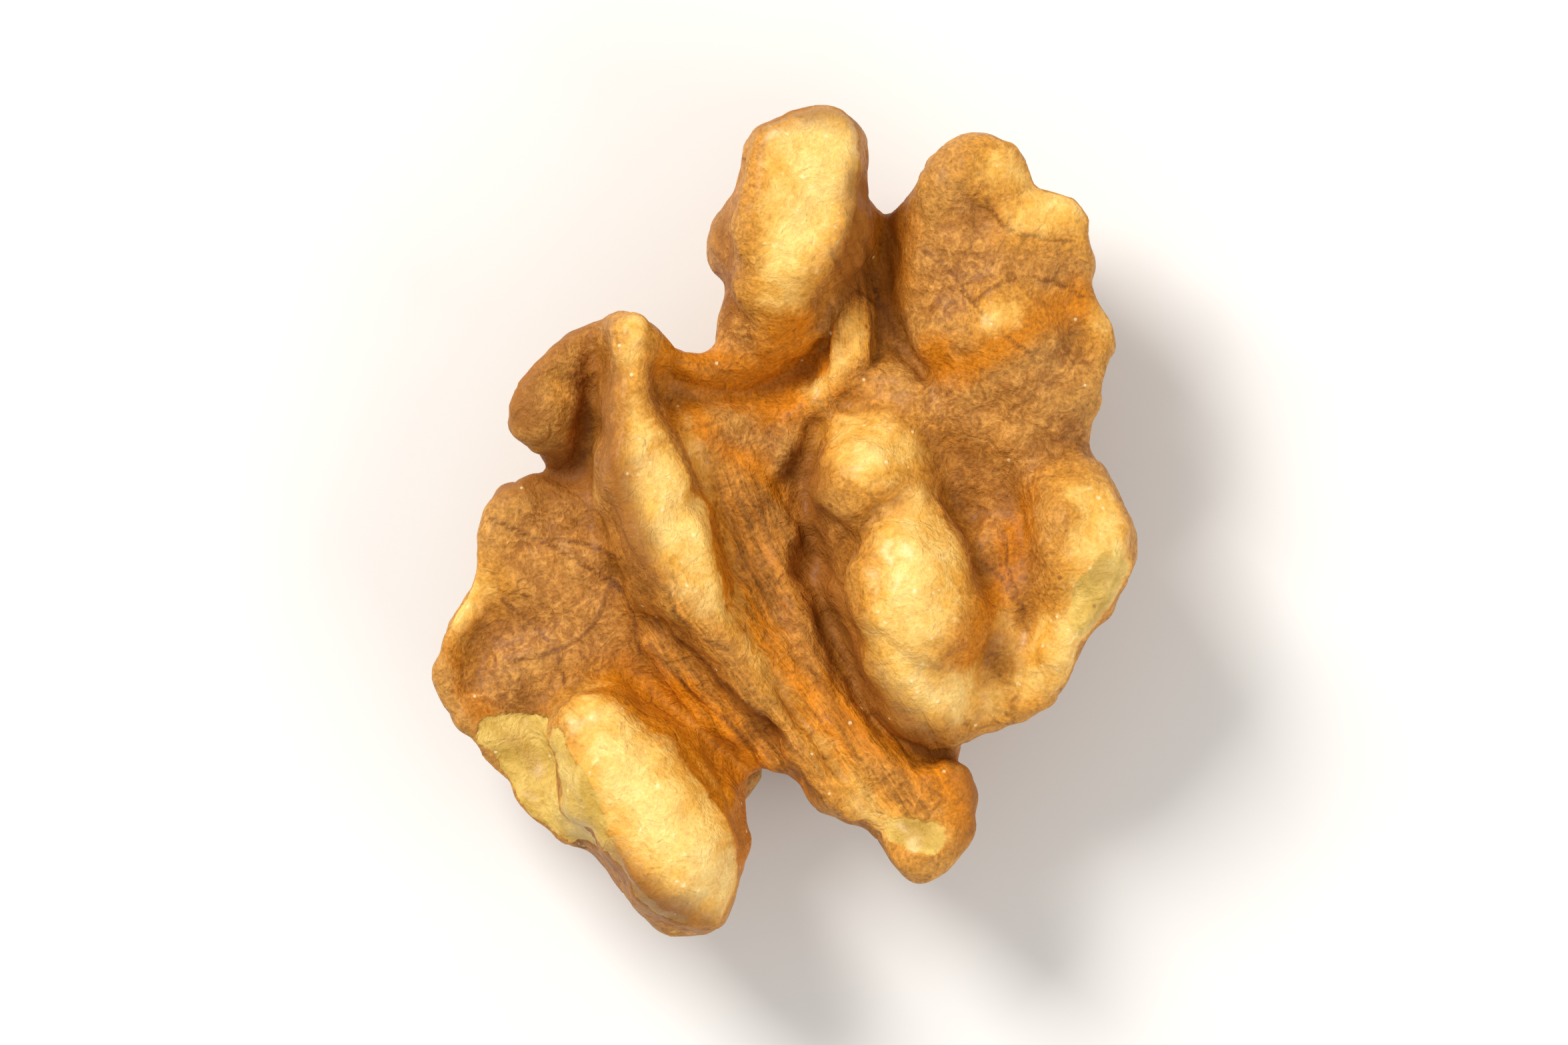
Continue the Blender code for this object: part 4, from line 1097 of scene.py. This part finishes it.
# %% The colour of the flesh
pale = 0.5 * core + cloud.ramp(0.3, 0.7) * 0.5
flesh = paint.blend(pale, (0.76, 0.38, 0.052), (0.90, 0.62, 0.20))
# Pale grains on the flesh, which also stand in for small glints: partly a painted highlight.
flesh = paint.blend(pits.ramp(0.26, 0.06) * mottle.ramp(0.45, 0.6) * 0.7, flesh, (0.95, 0.80, 0.47))
# Painted shade in the small creases of the flesh.
flesh = paint.blend(crease_shade * 0.6, flesh, (0.60, 0.25, 0.030))
flesh = paint.shade(flesh, 1 + (mottle - 0.5) * 0.45 + (grain - 0.5) * 0.6)
bare = paint.blend(cloud.ramp(0.35, 0.7), (0.53, 0.32, 0.052), (0.76, 0.51, 0.125))
bare = paint.shade(bare, 1 + (mottle - 0.5) * 0.3 + (grain - 0.5) * 0.4)
colour = paint.blend(rubbed, coat, flesh)
colour = paint.blend(peeled, colour, bare)
# Dark places: darker skin, and painted shade in grooves, clefts and on shaded flanks.
colour = paint.blend(dark * 0.8, colour, (0.27, 0.090, 0.012))
colour = paint.blend(specks * 0.7, colour, (0.20, 0.065, 0.010))
colour = paint.blend(crumbs * 0.6, colour, (0.94, 0.78, 0.45))
paint.feed(paint.shader.inputs["Base Color"], colour)

# %% Sheen and fine bumps
naked = rubbed.most(peeled)
paint.feed(paint.shader.inputs["Roughness"], 0.56 - 0.14 * naked + (mottle - 0.5) * 0.25)
paint.feed(paint.shader.inputs["Coat Weight"], 0.05 + 0.25 * naked)
paint.shader.inputs["Coat Roughness"].default_value = 0.28
height = (mottle - 0.5) * 0.10 + (grain - 0.5) * 0.05
height = height + (cloud - 0.5) * 0.10 + (wrinkle - 0.5) * 0.10
height = height + stranded * ((streaks - 0.5) * 0.12 + (fine_streaks - 0.5) * 0.06)
height = height + 0.035 * vein - 0.03 * netted - 0.02 * fine_netted - 0.05 * naked
bump = {"Height": height, "Distance": MM, "Strength": 1.0}
paint.feed(paint.shader.inputs["Normal"], paint.node("Bump", inputs=bump))
paint.shader.inputs["Specular IOR Level"].default_value = 0.16
paint.shader.inputs["Subsurface Weight"].default_value = 0.12
paint.shader.inputs["Subsurface Radius"].default_value = (1.0, 0.45, 0.15)
paint.shader.inputs["Subsurface Scale"].default_value = 0.0012
print("the material has", len(paint.nodes), "nodes")

# %% [markdown]
# ## Table, light and camera
#
# The kernel is seen from straight above, in soft light that comes mostly from above and the upper
# left.

# %% The table
floor_mesh = bpy.data.meshes.new("table")
reach = 0.6
square = [(-reach, -reach, 0), (reach, -reach, 0), (reach, reach, 0), (-reach, reach, 0)]
floor_mesh.from_pydata(square, [], [(0, 1, 2, 3)])
floor = bpy.data.objects.new("table", floor_mesh)
bpy.context.scene.collection.objects.link(floor)
paper = bpy.data.materials.new("pale table")
paper.use_nodes = True
shader = paper.node_tree.nodes["Principled BSDF"]
shader.inputs["Base Color"].default_value = (0.78, 0.77, 0.75, 1)
shader.inputs["Roughness"].default_value = 0.7
floor_mesh.materials.append(paper)

# %% The lights
def soft_light(name, place, size, watts, colour):
    """A square lamp at the place that faces the kernel."""
    data = bpy.data.lights.new(name, "AREA")
    data.size = size
    data.energy = watts
    data.color = colour
    lamp = bpy.data.objects.new(name, data)
    lamp.location = place
    aim = -np.array(place)
    tilt = math.acos(-aim[2] / np.linalg.norm(aim))
    lamp.rotation_euler = (tilt, 0, math.atan2(aim[1], aim[0]) + 3 * math.pi / 2)
    bpy.context.scene.collection.objects.link(lamp)


soft_light("window", (-0.20, 0.22, 0.32), 0.16, 1.9, (1, 0.98, 0.95))
soft_light("fill", (0.30, -0.20, 0.26), 0.30, 0.8, (1, 0.98, 0.96))
world = bpy.data.worlds.new("studio")
world.use_nodes = True
background = world.node_tree.nodes["Background"]
background.inputs["Color"].default_value = (1, 0.98, 0.96, 1)
background.inputs["Strength"].default_value = 0.55
bpy.context.scene.world = world
print(len(bpy.data.lights), "lamps and a pale world")

# %% The camera, straight above
lens = bpy.data.cameras.new("camera")
lens.lens = 300
lens.sensor_width = 36
lens.clip_end = 5
camera = bpy.data.objects.new("camera", lens)
KERNEL_LENGTH, KERNEL_SHARE, FRAME_ASPECT, MIDDLE_HEIGHT = 0.0356, 0.80, 1.5, 0.012
frame_width = KERNEL_LENGTH / KERNEL_SHARE * FRAME_ASPECT
camera.location = (0, 0, frame_width * lens.lens / lens.sensor_width + MIDDLE_HEIGHT)
bpy.context.scene.collection.objects.link(camera)
bpy.context.scene.camera = camera
bpy.context.scene.view_settings.view_transform = "Standard"
print("the camera hangs", round(camera.location.z, 3), "m above the table")
